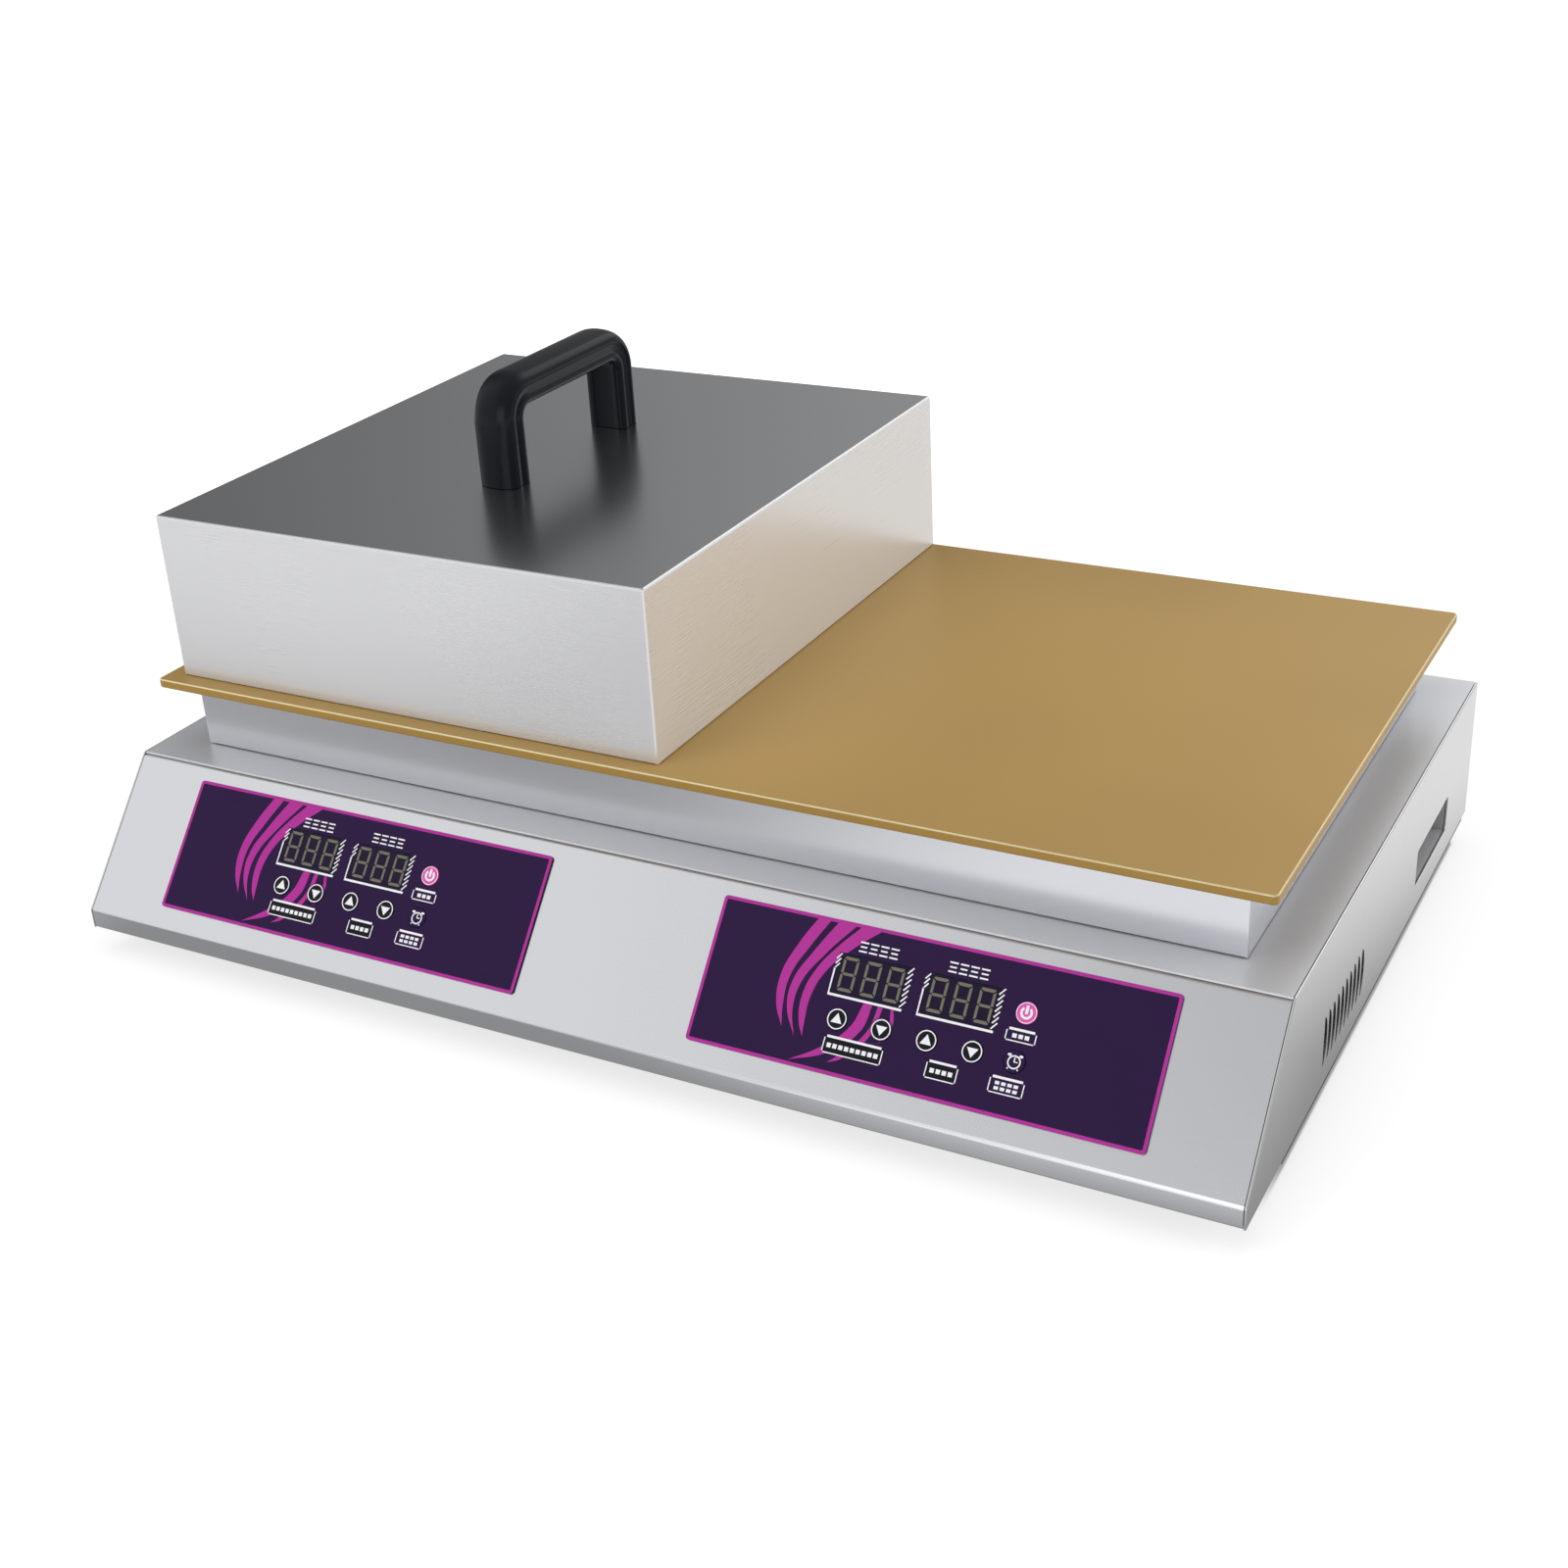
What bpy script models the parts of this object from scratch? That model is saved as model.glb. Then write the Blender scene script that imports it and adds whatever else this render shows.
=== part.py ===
"""Souffle pancake maker: a two-zone countertop griddle with a lift-off lid.

Metres, +Z up, the control panels towards -Y. The origin is the centre of the
whole machine's footprint, on the surface that its feet stand on.
"""

import math

import bmesh
import bpy
from mathutils import Matrix, Vector

MM = 0.001

# Gap between pieces that touch, and how far a cutter runs past what it cuts
GAP = 0.3 * MM
OVERRUN = 2 * MM

# Base housing
SHEET = 1.2 * MM
BODY_WIDTH = 676 * MM
BODY_DEPTH = 430 * MM
BODY_HEIGHT = 83.5 * MM
LIP_HEIGHT = 11.5 * MM
FASCIA_RUN = 62.8 * MM
FASCIA_RETURN = 60 * MM
DECK_LEDGE = 10 * MM
SIDE_FLANGE = 20 * MM
PAN_DROP = 5.5 * MM
PAN_INSET = 1.5 * MM

# Rubber feet, each with a stud that passes through the base pan
FOOT_HEIGHT = 10.2 * MM
FOOT_RADIUS = 14 * MM
FOOT_BASE_RADIUS = 12 * MM
FOOT_STUD_RADIUS = 3 * MM
FOOT_STUD_RISE = 4 * MM
FOOT_INSET = 26 * MM

# Louvre slots and hand grips in the side panels
LOUVRE_COUNT = 10
LOUVRE_PITCH = 7.5 * MM
LOUVRE_WIDTH = 2.6 * MM
LOUVRE_HEIGHT = 22 * MM
LOUVRE_SETBACK = 154 * MM
LOUVRE_RISE = 26 * MM
GRIP_LENGTH = 72 * MM
GRIP_HEIGHT = 22 * MM
GRIP_DEPTH = 18 * MM
GRIP_WALL = 1 * MM
GRIP_FLANGE = 6 * MM
GRIP_FROM_REAR = 92 * MM
GRIP_RISE = 26 * MM

# Rear panel: vent slots and the cable gland
VENT_COUNT = 14
VENT_PITCH = 8 * MM
VENT_WIDTH = 3 * MM
VENT_HEIGHT = 30 * MM
VENT_OFFSET = 130 * MM
VENT_RISE = 48 * MM
GLAND_INSET = 66 * MM
GLAND_RISE = 34 * MM
GLAND_THREAD_RADIUS = 10 * MM
GLAND_THREAD_LENGTH = 9 * MM
GLAND_HEX_RADIUS = 13.9 * MM
GLAND_HEX_HEIGHT = 6 * MM
GLAND_CAP_RADIUS = 11.5 * MM
GLAND_CAP_HEIGHT = 9 * MM
GLAND_MOUTH_RADIUS = 7.5 * MM
GLAND_MOUTH_HEIGHT = 5 * MM
GLAND_BORE_RADIUS = 4.5 * MM
GLAND_NUT_HEIGHT = 5 * MM

# Griddle plate
PLATE_WIDTH = 650 * MM
PLATE_DEPTH = 350.6 * MM
PLATE_THICKNESS = 5.3 * MM
PLATE_CORNER_RADIUS = 3 * MM
PLATE_SETBACK = 71.2 * MM
PLATE_EDGE_share = 0.44

# Heater box under the plate
SKIRT_SHEET = 1.2 * MM
SKIRT_HEIGHT = 39 * MM
SKIRT_SIDE_OVERHANG = 16.5 * MM
SKIRT_END_OVERHANG = 15 * MM
SKIRT_FLANGE = 14 * MM
TRAY_SHEET = 1 * MM
TRAY_CLEARANCE = 18 * MM
TRAY_WALL_share = 0.4

# Heating elements, their clamps, and what senses the plate's heat
ELEMENT_RADIUS = 4 * MM
ELEMENT_LEGS = 4
ELEMENT_PITCH = 70 * MM
ELEMENT_MARGIN = 25 * MM
ELEMENT_BEND_STEPS = 8
CLAMP_WIDTH = 25 * MM
CLAMP_THICKNESS = 3 * MM
CLAMP_END = 12 * MM
CLAMP_BOLT_RADIUS = 3 * MM
CLAMP_BOLT_HEAD_RADIUS = 5.8 * MM
CLAMP_BOLT_HEAD_HEIGHT = 4 * MM
CLAMP_BOLT_BITE_share = 0.6
INSULATION_CLEARANCE = 3 * MM
INSULATION_MARGIN = 12 * MM
PROBE_RADIUS = 2.5 * MM
PROBE_LENGTH = 60 * MM
THERMOSTAT_RADIUS = 9 * MM
THERMOSTAT_HEIGHT = 7 * MM
SENSOR_OFFSET = 78 * MM
WIRE_HOLE_RADIUS = 12 * MM
WIRE_HOLE_SETBACK = 60 * MM

# Control panels on the fascia, measured from the deck's front edge down the slope
PANEL_WIDTH = 237.5 * MM
PANEL_HEIGHT = 74.4 * MM
PANEL_THICKNESS = 0.8 * MM
PANEL_CORNER_RADIUS = 2 * MM
PANEL_TOP_MARGIN = 9.3 * MM
PANEL_OFFSET_share = 0.5035
DISPLAY_WIDTH = 37.8 * MM
DISPLAY_HEIGHT = 19.9 * MM
DISPLAY_INDENT = 68.9 * MM
DISPLAY_SPACING = 9.2 * MM
DISPLAY_TOP_MARGIN = 15.7 * MM
KEY_RADIUS = 5.3 * MM
KEY_PITCH = 23.4 * MM
KEY_ROW_DROP = 11.9 * MM
KEY_COLUMN_OFFSET = 13.9 * MM
POWER_KEY_DROP = 24.2 * MM
KEY_PROUD = 0.4 * MM
KEY_TRAVEL = 0.4 * MM
KEY_COLLAR = 1.1 * MM
KEY_COLLAR_HEIGHT = 0.8 * MM
KEY_STEM_RADIUS = 1.8 * MM

# Boards behind the fascia, and the electrical parts in the base
BOARD_STANDOFF = 8 * MM
BOARD_THICKNESS = 1.6 * MM
BOARD_MARGIN = 14 * MM
BOARD_TRIM = 5 * MM
BOARD_POST_RADIUS = 2.5 * MM
BOARD_POST_INSET = 5 * MM
SWITCH_SIZE = 6 * MM
SWITCH_HEIGHT = 3.5 * MM
RELAY_WIDTH = 45 * MM
RELAY_DEPTH = 58 * MM
RELAY_HEIGHT = 23 * MM
RELAY_BASE = 3 * MM
RELAY_LEDGE = 9 * MM
RELAY_OFFSET = 110 * MM
TERMINAL_WIDTH = 54 * MM
TERMINAL_DEPTH = 22 * MM
TERMINAL_HEIGHT = 20 * MM
TERMINAL_SETBACK = 64 * MM
TERMINAL_COUNT = 5
TERMINAL_WELL_RADIUS = 3.4 * MM
TERMINAL_WELL_DEPTH = 7 * MM

# Lid and its handle
LID_SHEET = 1.2 * MM
LID_WIDTH = 315.3 * MM
LID_DEPTH = 339.5 * MM
LID_HEIGHT = 95.6 * MM
LID_SIDE_INSET = 10.8 * MM
LID_FRONT_INSET = 10.6 * MM
HANDLE_SPAN = 117 * MM
HANDLE_HEIGHT = 61 * MM
HANDLE_WIDTH = 25 * MM
HANDLE_THICKNESS = 19 * MM
HANDLE_BEND_RADIUS = 16 * MM
HANDLE_BEND_STEPS = 6
HANDLE_SECTION_POINTS = 16
HANDLE_SQUARENESS = 2.6
SCREW_RADIUS = 2.5 * MM
SCREW_HEAD_RADIUS = 4.8 * MM
SCREW_HEAD_HEIGHT = 2.6 * MM
SCREW_BITE = 14 * MM

# Meshing
ROUND_SEGMENTS = 20
TUBE_RESOLUTION = 2
EDGE_SEGMENTS = 3
CORNER_STEPS = 3
WELD = 0.001 * MM
SMOOTH_ANGLE = math.radians(35)

# Levels and edges worked out from the sizes above
GLAND_REACH = GAP + GLAND_HEX_HEIGHT + GLAND_CAP_HEIGHT + GLAND_MOUTH_HEIGHT
FRONT_Y = -(BODY_DEPTH + GLAND_REACH) / 2
REAR_Y = FRONT_Y + BODY_DEPTH
HALF_WIDTH = BODY_WIDTH / 2
INNER_HALF_WIDTH = HALF_WIDTH - SHEET - GAP
LIP_Z = FOOT_HEIGHT + GAP + PAN_DROP
DECK_Z = LIP_Z + BODY_HEIGHT
DECK_UNDERSIDE_Z = DECK_Z - SHEET
PAN_FLOOR_Z = LIP_Z - PAN_DROP + SHEET
PAN_FRONT_Y = FRONT_Y + FASCIA_RETURN + GAP
PLATE_Z = DECK_Z + SKIRT_HEIGHT
PLATE_TOP_Z = PLATE_Z + PLATE_THICKNESS
PLATE_FRONT_Y = FRONT_Y + PLATE_SETBACK
PLATE_REAR_Y = PLATE_FRONT_Y + PLATE_DEPTH
PLATE_MIDDLE_Y = (PLATE_FRONT_Y + PLATE_REAR_Y) / 2
SKIRT_HALF_WIDTH = PLATE_WIDTH / 2 - SKIRT_SIDE_OVERHANG
SKIRT_FRONT_Y = PLATE_FRONT_Y + SKIRT_END_OVERHANG
SKIRT_REAR_Y = PLATE_REAR_Y - SKIRT_END_OVERHANG
ZONE_OFFSET = PLATE_WIDTH / 4
ELEMENT_Z = PLATE_Z - GAP - ELEMENT_RADIUS
CLAMP_TOP_Z = ELEMENT_Z - ELEMENT_RADIUS - GAP
CLAMP_BOTTOM_Z = CLAMP_TOP_Z - CLAMP_THICKNESS
TRAY_FLOOR_Z = DECK_Z + GAP + TRAY_SHEET
INSULATION_TOP_Z = CLAMP_BOTTOM_Z - GAP - CLAMP_BOLT_HEAD_HEIGHT - INSULATION_CLEARANCE
LID_Z = PLATE_TOP_Z + GAP
LID_TOP_Z = LID_Z + LID_HEIGHT
LID_LEFT_X = -PLATE_WIDTH / 2 + LID_SIDE_INSET
LID_MIDDLE_X = LID_LEFT_X + LID_WIDTH / 2
LID_FRONT_Y = PLATE_FRONT_Y + LID_FRONT_INSET
LID_MIDDLE_Y = LID_FRONT_Y + LID_DEPTH / 2
GLAND_X = HALF_WIDTH - GLAND_INSET
GLAND_Z = LIP_Z + GLAND_RISE
PANEL_OFFSET = PANEL_OFFSET_share * HALF_WIDTH

# The fascia's own depths: zero is its outer face and the minus side is inside
PANEL_FACE = GAP + PANEL_THICKNESS
BOARD_FACE = -SHEET - BOARD_STANDOFF

SIDES = {"left": -1, "right": 1}

# Colour, roughness and metallic value of each finish
FINISHES = {
    "brushed_steel": ((0.62, 0.63, 0.65), 0.32, 1.0),
    "galvanised_steel": ((0.55, 0.56, 0.57), 0.45, 1.0),
    "bronze_plate": ((0.42, 0.31, 0.17), 0.38, 0.85),
    "black_plastic": ((0.012, 0.013, 0.016), 0.22, 0.0),
    "black_rubber": ((0.02, 0.02, 0.02), 0.8, 0.0),
    "purple_overlay": ((0.035, 0.018, 0.065), 0.35, 0.0),
    "display_window": ((0.01, 0.01, 0.012), 0.15, 0.0),
    "key_print": ((0.05, 0.03, 0.08), 0.35, 0.0),
    "heater_sheath": ((0.25, 0.22, 0.2), 0.5, 0.9),
    "ceramic_wool": ((0.85, 0.84, 0.8), 0.95, 0.0),
    "circuit_board": ((0.02, 0.2, 0.07), 0.5, 0.0),
    "white_plastic": ((0.8, 0.8, 0.78), 0.5, 0.0),
}

# Local x, y, z of an outline become world Y, Z, X
ALONG_X = Matrix(((0, 0, 1, 0), (1, 0, 0, 0), (0, 1, 0, 0), (0, 0, 0, 1)))
# A piece turned about its own Z comes to lie along world Y, facing the rear
FACING_REAR = Matrix.Rotation(-math.pi / 2, 4, "X")


def clear_scene():
    """Remove whatever objects the file holds."""
    for piece in list(bpy.data.objects):
        bpy.data.objects.remove(piece, do_unlink=True)


def material(finish):
    """Return the Principled material of a finish, made on first use."""
    found = bpy.data.materials.get(finish)
    if found:
        return found
    colour, roughness, metallic = FINISHES[finish]
    made = bpy.data.materials.new(finish)
    made.use_nodes = True
    shader = made.node_tree.nodes["Principled BSDF"]
    shader.inputs["Base Color"].default_value = (*colour, 1)
    shader.inputs["Roughness"].default_value = roughness
    shader.inputs["Metallic"].default_value = metallic
    return made


def new_piece(name, bm, finish, parent=None, location=(0, 0, 0)):
    """Make a named object from a bmesh, with its finish."""
    bmesh.ops.recalc_face_normals(bm, faces=bm.faces)
    mesh = bpy.data.meshes.new(name)
    bm.to_mesh(mesh)
    bm.free()
    mesh.shade_smooth()
    mesh.set_sharp_from_angle(angle=SMOOTH_ANGLE)
    mesh.materials.append(material(finish))
    piece = bpy.data.objects.new(name, mesh)
    bpy.context.scene.collection.objects.link(piece)
    piece.parent = parent
    piece.location = location
    return piece


def new_guide(name, bm, parent=None, location=(0, 0, 0)):
    """Make a hidden helper shape that cuts or completes a piece."""
    guide = new_piece(name, bm, "galvanised_steel", parent, location)
    guide.hide_render = True
    guide.display_type = "WIRE"
    return guide


def combine(piece, guide, operation):
    """Cut a guide from a piece (DIFFERENCE) or join it on (UNION)."""
    change = piece.modifiers.new(guide.name, "BOOLEAN")
    change.operation = operation
    change.solver = "EXACT"
    change.object = guide


def add_box(bm, low, high):
    """Add a box between two corners and return its faces."""
    low = Vector(low)
    high = Vector(high)
    place = Matrix.Translation((low + high) / 2) @ Matrix.Diagonal((*(high - low), 1))
    made = bmesh.ops.create_cube(bm, size=1, matrix=place)
    return list({face for vert in made["verts"] for face in vert.link_faces})


def add_tray(bm, low, high, wall, floor, opening):
    """Add a box with one open side, facing up (1) or down (-1)."""
    faces = add_box(bm, low, high)
    bm.normal_update()
    mouth = [face for face in faces if face.normal.z * opening > 0.5]
    bmesh.ops.inset_region(bm, faces=mouth, thickness=wall, use_even_offset=True)
    made = bmesh.ops.extrude_face_region(bm, geom=mouth)
    floor_verts = [item for item in made["geom"] if isinstance(item, bmesh.types.BMVert)]
    depth = high[2] - low[2] - floor
    bmesh.ops.translate(bm, verts=floor_verts, vec=(0, 0, -opening * depth))
    bmesh.ops.delete(bm, geom=[face for face in mouth if face.is_valid], context="FACES_ONLY")


def add_prism(bm, outline, low, high, place=Matrix()):
    """Add a prism: an outline in local x and y, between two local heights."""
    verts = [bm.verts.new((x, y, low)) for x, y in outline]
    base = bm.faces.new(verts)
    made = bmesh.ops.extrude_face_region(bm, geom=[base], use_keep_orig=True)
    top = [item for item in made["geom"] if isinstance(item, bmesh.types.BMVert)]
    bmesh.ops.translate(bm, verts=top, vec=(0, 0, high - low))
    bmesh.ops.transform(bm, matrix=place, verts=verts + top)
    return verts, top


def add_turned(bm, profile, segments=ROUND_SEGMENTS, place=Matrix(), ring=False):
    """Spin a profile of (radius, height) points about local Z into a closed solid."""
    verts = [bm.verts.new((radius, 0, height)) for radius, height in profile]
    edges = [bm.edges.new(pair) for pair in zip(verts, verts[1:])]
    if ring:
        edges.append(bm.edges.new((verts[-1], verts[0])))
    before = set(bm.verts) - set(verts)
    bmesh.ops.spin(
        bm, geom=verts + edges, cent=(0, 0, 0), axis=(0, 0, 1),
        angle=math.tau, steps=segments, use_merge=True,
    )
    made = [vert for vert in bm.verts if vert not in before]
    bmesh.ops.remove_doubles(bm, verts=made, dist=WELD)
    made = [vert for vert in bm.verts if vert not in before]
    bmesh.ops.transform(bm, matrix=place, verts=made)


def add_cylinder(bm, radius, low, high, place=Matrix(), segments=ROUND_SEGMENTS):
    """Add a plain round bar along local Z."""
    add_turned(bm, [(0, low), (radius, low), (radius, high), (0, high)], segments, place)


def rounded_rectangle(width, height, radius):
    """Return a centred rectangle's outline with rounded corners."""
    points = []
    for quarter, (side_x, side_y) in enumerate(((1, 1), (-1, 1), (-1, -1), (1, -1))):
        centre = Vector((side_x * (width / 2 - radius), side_y * (height / 2 - radius)))
        for step in range(CORNER_STEPS + 1):
            angle = math.radians(90) * (quarter + step / CORNER_STEPS)
            points.append(centre + radius * Vector((math.cos(angle), math.sin(angle))))
    return points


def folded_outline(bends, thickness):
    """Return a folded sheet's outline: its outer face runs through the bends."""
    inner = []
    for index, point in enumerate(bends):
        sides = []
        if index > 0:
            sides.append((point - bends[index - 1]).normalized())
        if index < len(bends) - 1:
            sides.append((bends[index + 1] - point).normalized())
        normals = [Vector((side.y, -side.x)) for side in sides]
        mitre = (normals[0] + normals[-1]) / (1 + normals[0].dot(normals[-1]))
        inner.append(point + mitre * thickness)
    return bends + inner[::-1]


def fascia_frame():
    """Return an empty on the deck's front edge: X across, Y up the slope, Z out of the fascia."""
    frame = bpy.data.objects.new("fascia_frame", None)
    bpy.context.scene.collection.objects.link(frame)
    frame.location = (0, FRONT_Y + FASCIA_RUN, DECK_Z)
    frame.rotation_euler = (math.atan2(BODY_HEIGHT - LIP_HEIGHT, FASCIA_RUN), 0, 0)
    return frame


def panel_left(side):
    """Return the local x of a control panel's left edge."""
    return side * PANEL_OFFSET - PANEL_WIDTH / 2


def display_places(side):
    """Return the centre of each display of a control panel, in the fascia's frame."""
    first_x = panel_left(side) + DISPLAY_INDENT + DISPLAY_WIDTH / 2
    y = -PANEL_TOP_MARGIN - DISPLAY_TOP_MARGIN - DISPLAY_HEIGHT / 2
    return {
        "temperature": Vector((first_x, y, 0)),
        "time": Vector((first_x + DISPLAY_WIDTH + DISPLAY_SPACING, y, 0)),
    }


def key_places(side):
    """Return the centre of each key of a control panel, in the fascia's frame."""
    displays = display_places(side)
    row_y = displays["time"].y - DISPLAY_HEIGHT / 2 - KEY_ROW_DROP
    column_x = displays["time"].x + DISPLAY_WIDTH / 2 + KEY_COLUMN_OFFSET
    places = {}
    for name, display in displays.items():
        places[f"{name}_up"] = Vector((display.x - KEY_PITCH / 2, row_y, 0))
        places[f"{name}_down"] = Vector((display.x + KEY_PITCH / 2, row_y, 0))
    places["power"] = Vector((column_x, -PANEL_TOP_MARGIN - POWER_KEY_DROP, 0))
    places["timer"] = Vector((column_x, row_y, 0))
    return places


def side_outline():
    """Return the housing's outline seen from the side, as world Y and Z."""
    return [
        (FRONT_Y, LIP_Z),
        (REAR_Y, LIP_Z),
        (REAR_Y, DECK_Z),
        (FRONT_Y + FASCIA_RUN, DECK_Z),
        (FRONT_Y, LIP_Z + LIP_HEIGHT),
    ]


def grip_centre():
    """Return world Y and Z of the middle of a hand grip."""
    return Vector((REAR_Y - GRIP_FROM_REAR, LIP_Z + GRIP_RISE))


def make_side_panel(name, side):
    """Side panel: the housing's profile in sheet, with louvres, a grip opening and a bottom flange."""
    inner, outer = sorted((side * HALF_WIDTH, side * (HALF_WIDTH - SHEET)))
    bm = bmesh.new()
    add_prism(bm, side_outline(), inner, outer, ALONG_X)
    panel = new_piece(f"{name}_side_panel", bm, "brushed_steel")

    low, high = sorted((side * (HALF_WIDTH - SIDE_FLANGE), side * (HALF_WIDTH - SHEET / 2)))
    bm = bmesh.new()
    add_box(bm, (low, PAN_FRONT_Y, LIP_Z), (high, REAR_Y - SHEET - GAP, LIP_Z + SHEET))
    combine(panel, new_guide(f"{name}_side_flange", bm), "UNION")

    near, far = sorted((side * (HALF_WIDTH - SHEET - OVERRUN), side * (HALF_WIDTH + OVERRUN)))
    bm = bmesh.new()
    middle_y = FRONT_Y + LOUVRE_SETBACK
    middle_z = LIP_Z + LOUVRE_RISE
    for index in range(LOUVRE_COUNT):
        y = middle_y + (index - (LOUVRE_COUNT - 1) / 2) * LOUVRE_PITCH
        low = (near, y - LOUVRE_WIDTH / 2, middle_z - LOUVRE_HEIGHT / 2)
        high = (far, y + LOUVRE_WIDTH / 2, middle_z + LOUVRE_HEIGHT / 2)
        add_box(bm, low, high)
    grip = grip_centre()
    low = (near, grip.x - GRIP_LENGTH / 2, grip.y - GRIP_HEIGHT / 2)
    high = (far, grip.x + GRIP_LENGTH / 2, grip.y + GRIP_HEIGHT / 2)
    add_box(bm, low, high)
    combine(panel, new_guide(f"{name}_side_openings", bm), "DIFFERENCE")


def make_grip_pocket(name, side):
    """Grip pocket: a shallow pressed box that closes a hand grip from inside."""
    middle_y, middle_z = grip_centre()
    face_x = HALF_WIDTH - SHEET - GAP

    def block(bm, start, end, margin):
        """Add a box from one distance behind the panel to another."""
        low_x, high_x = sorted((side * (face_x - start), side * (face_x - end)))
        half_length = GRIP_LENGTH / 2 + margin
        half_height = GRIP_HEIGHT / 2 + margin
        low = (low_x, middle_y - half_length, middle_z - half_height)
        add_box(bm, low, (high_x, middle_y + half_length, middle_z + half_height))

    bm = bmesh.new()
    block(bm, 0, GRIP_WALL, GRIP_FLANGE)
    pocket = new_piece(f"{name}_grip_pocket", bm, "galvanised_steel")
    bm = bmesh.new()
    block(bm, GRIP_WALL / 2, GRIP_DEPTH, GRIP_WALL)
    combine(pocket, new_guide(f"{name}_grip_box", bm), "UNION")
    bm = bmesh.new()
    block(bm, -OVERRUN, GRIP_DEPTH - GRIP_WALL, 0)
    combine(pocket, new_guide(f"{name}_grip_hollow", bm), "DIFFERENCE")


def make_front_fascia(frame):
    """Front fascia: one folded sheet from the bottom return over the lip to the ledge under the deck."""
    ledge_z = DECK_UNDERSIDE_Z - GAP
    slope = FASCIA_RUN / (BODY_HEIGHT - LIP_HEIGHT)
    ledge_y = FRONT_Y + (ledge_z - LIP_Z - LIP_HEIGHT) * slope
    bends = [
        Vector((FRONT_Y + FASCIA_RETURN, LIP_Z)),
        Vector((FRONT_Y, LIP_Z)),
        Vector((FRONT_Y, LIP_Z + LIP_HEIGHT)),
        Vector((ledge_y, ledge_z)),
        Vector((ledge_y + DECK_LEDGE, ledge_z)),
    ]
    bm = bmesh.new()
    add_prism(bm, folded_outline(bends, SHEET), -INNER_HALF_WIDTH, INNER_HALF_WIDTH, ALONG_X)
    fascia = new_piece("front_fascia", bm, "brushed_steel")
    bm = bmesh.new()
    for side in SIDES.values():
        add_panel_openings(bm, side, -SHEET - OVERRUN, OVERRUN)
    combine(fascia, new_guide("fascia_openings", bm, frame), "DIFFERENCE")


def add_panel_openings(bm, side, low, high):
    """Add the display windows and key holes of a panel as cutters between two depths."""
    for place in display_places(side).values():
        half = Vector((DISPLAY_WIDTH / 2 + GAP, DISPLAY_HEIGHT / 2 + GAP, 0))
        add_box(bm, place - half + Vector((0, 0, low)), place + half + Vector((0, 0, high)))
    for place in key_places(side).values():
        add_cylinder(bm, KEY_RADIUS + GAP, low, high, Matrix.Translation(place))


def make_top_deck():
    """Top deck: flat sheet between the side panels, with two wire holes under the heater box."""
    bm = bmesh.new()
    low = (-INNER_HALF_WIDTH, FRONT_Y + FASCIA_RUN, DECK_UNDERSIDE_Z)
    add_box(bm, low, (INNER_HALF_WIDTH, REAR_Y, DECK_Z))
    deck = new_piece("top_deck", bm, "brushed_steel")
    bm = bmesh.new()
    add_wire_holes(bm, DECK_UNDERSIDE_Z - OVERRUN, DECK_Z + OVERRUN)
    combine(deck, new_guide("deck_wire_holes", bm), "DIFFERENCE")


def add_wire_holes(bm, low, high):
    """Add the cutters of the two wire holes between two heights."""
    for side in SIDES.values():
        place = Matrix.Translation((side * ZONE_OFFSET, SKIRT_REAR_Y - WIRE_HOLE_SETBACK, 0))
        add_cylinder(bm, WIRE_HOLE_RADIUS, low, high, place)


def make_rear_panel():
    """Rear panel: flat sheet with two groups of vent slots and the gland's hole."""
    bm = bmesh.new()
    low = (-INNER_HALF_WIDTH, REAR_Y - SHEET, LIP_Z)
    add_box(bm, low, (INNER_HALF_WIDTH, REAR_Y, DECK_UNDERSIDE_Z - GAP))
    panel = new_piece("rear_panel", bm, "brushed_steel")
    bm = bmesh.new()
    near = REAR_Y - SHEET - OVERRUN
    far = REAR_Y + OVERRUN
    middle_z = LIP_Z + VENT_RISE
    for side in SIDES.values():
        for index in range(VENT_COUNT):
            x = side * VENT_OFFSET + (index - (VENT_COUNT - 1) / 2) * VENT_PITCH
            low = (x - VENT_WIDTH / 2, near, middle_z - VENT_HEIGHT / 2)
            add_box(bm, low, (x + VENT_WIDTH / 2, far, middle_z + VENT_HEIGHT / 2))
    place = Matrix.Translation((GLAND_X, REAR_Y, GLAND_Z)) @ FACING_REAR
    add_cylinder(bm, GLAND_THREAD_RADIUS + GAP, -SHEET - OVERRUN, OVERRUN, place)
    combine(panel, new_guide("rear_openings", bm), "DIFFERENCE")


def foot_places():
    """Return world X and Y of each foot by name."""
    x = HALF_WIDTH - PAN_INSET - FOOT_INSET
    front_y = PAN_FRONT_Y + FOOT_INSET
    rear_y = REAR_Y - FOOT_INSET
    return {
        "front_left": (-x, front_y),
        "front_right": (x, front_y),
        "rear_left": (-x, rear_y),
        "rear_right": (x, rear_y),
    }


def make_base_pan():
    """Base pan: a shallow tray that hangs under the housing and carries the feet."""
    bm = bmesh.new()
    half_width = HALF_WIDTH - PAN_INSET
    low = (-half_width, PAN_FRONT_Y, LIP_Z - PAN_DROP)
    high = (half_width, REAR_Y - PAN_INSET, LIP_Z - GAP)
    add_tray(bm, low, high, SHEET, SHEET, 1)
    pan = new_piece("base_pan", bm, "galvanised_steel")
    bm = bmesh.new()
    for x, y in foot_places().values():
        place = Matrix.Translation((x, y, PAN_FLOOR_Z))
        add_cylinder(bm, FOOT_STUD_RADIUS + GAP, -SHEET - OVERRUN, OVERRUN, place)
    combine(pan, new_guide("pan_stud_holes", bm), "DIFFERENCE")


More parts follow.
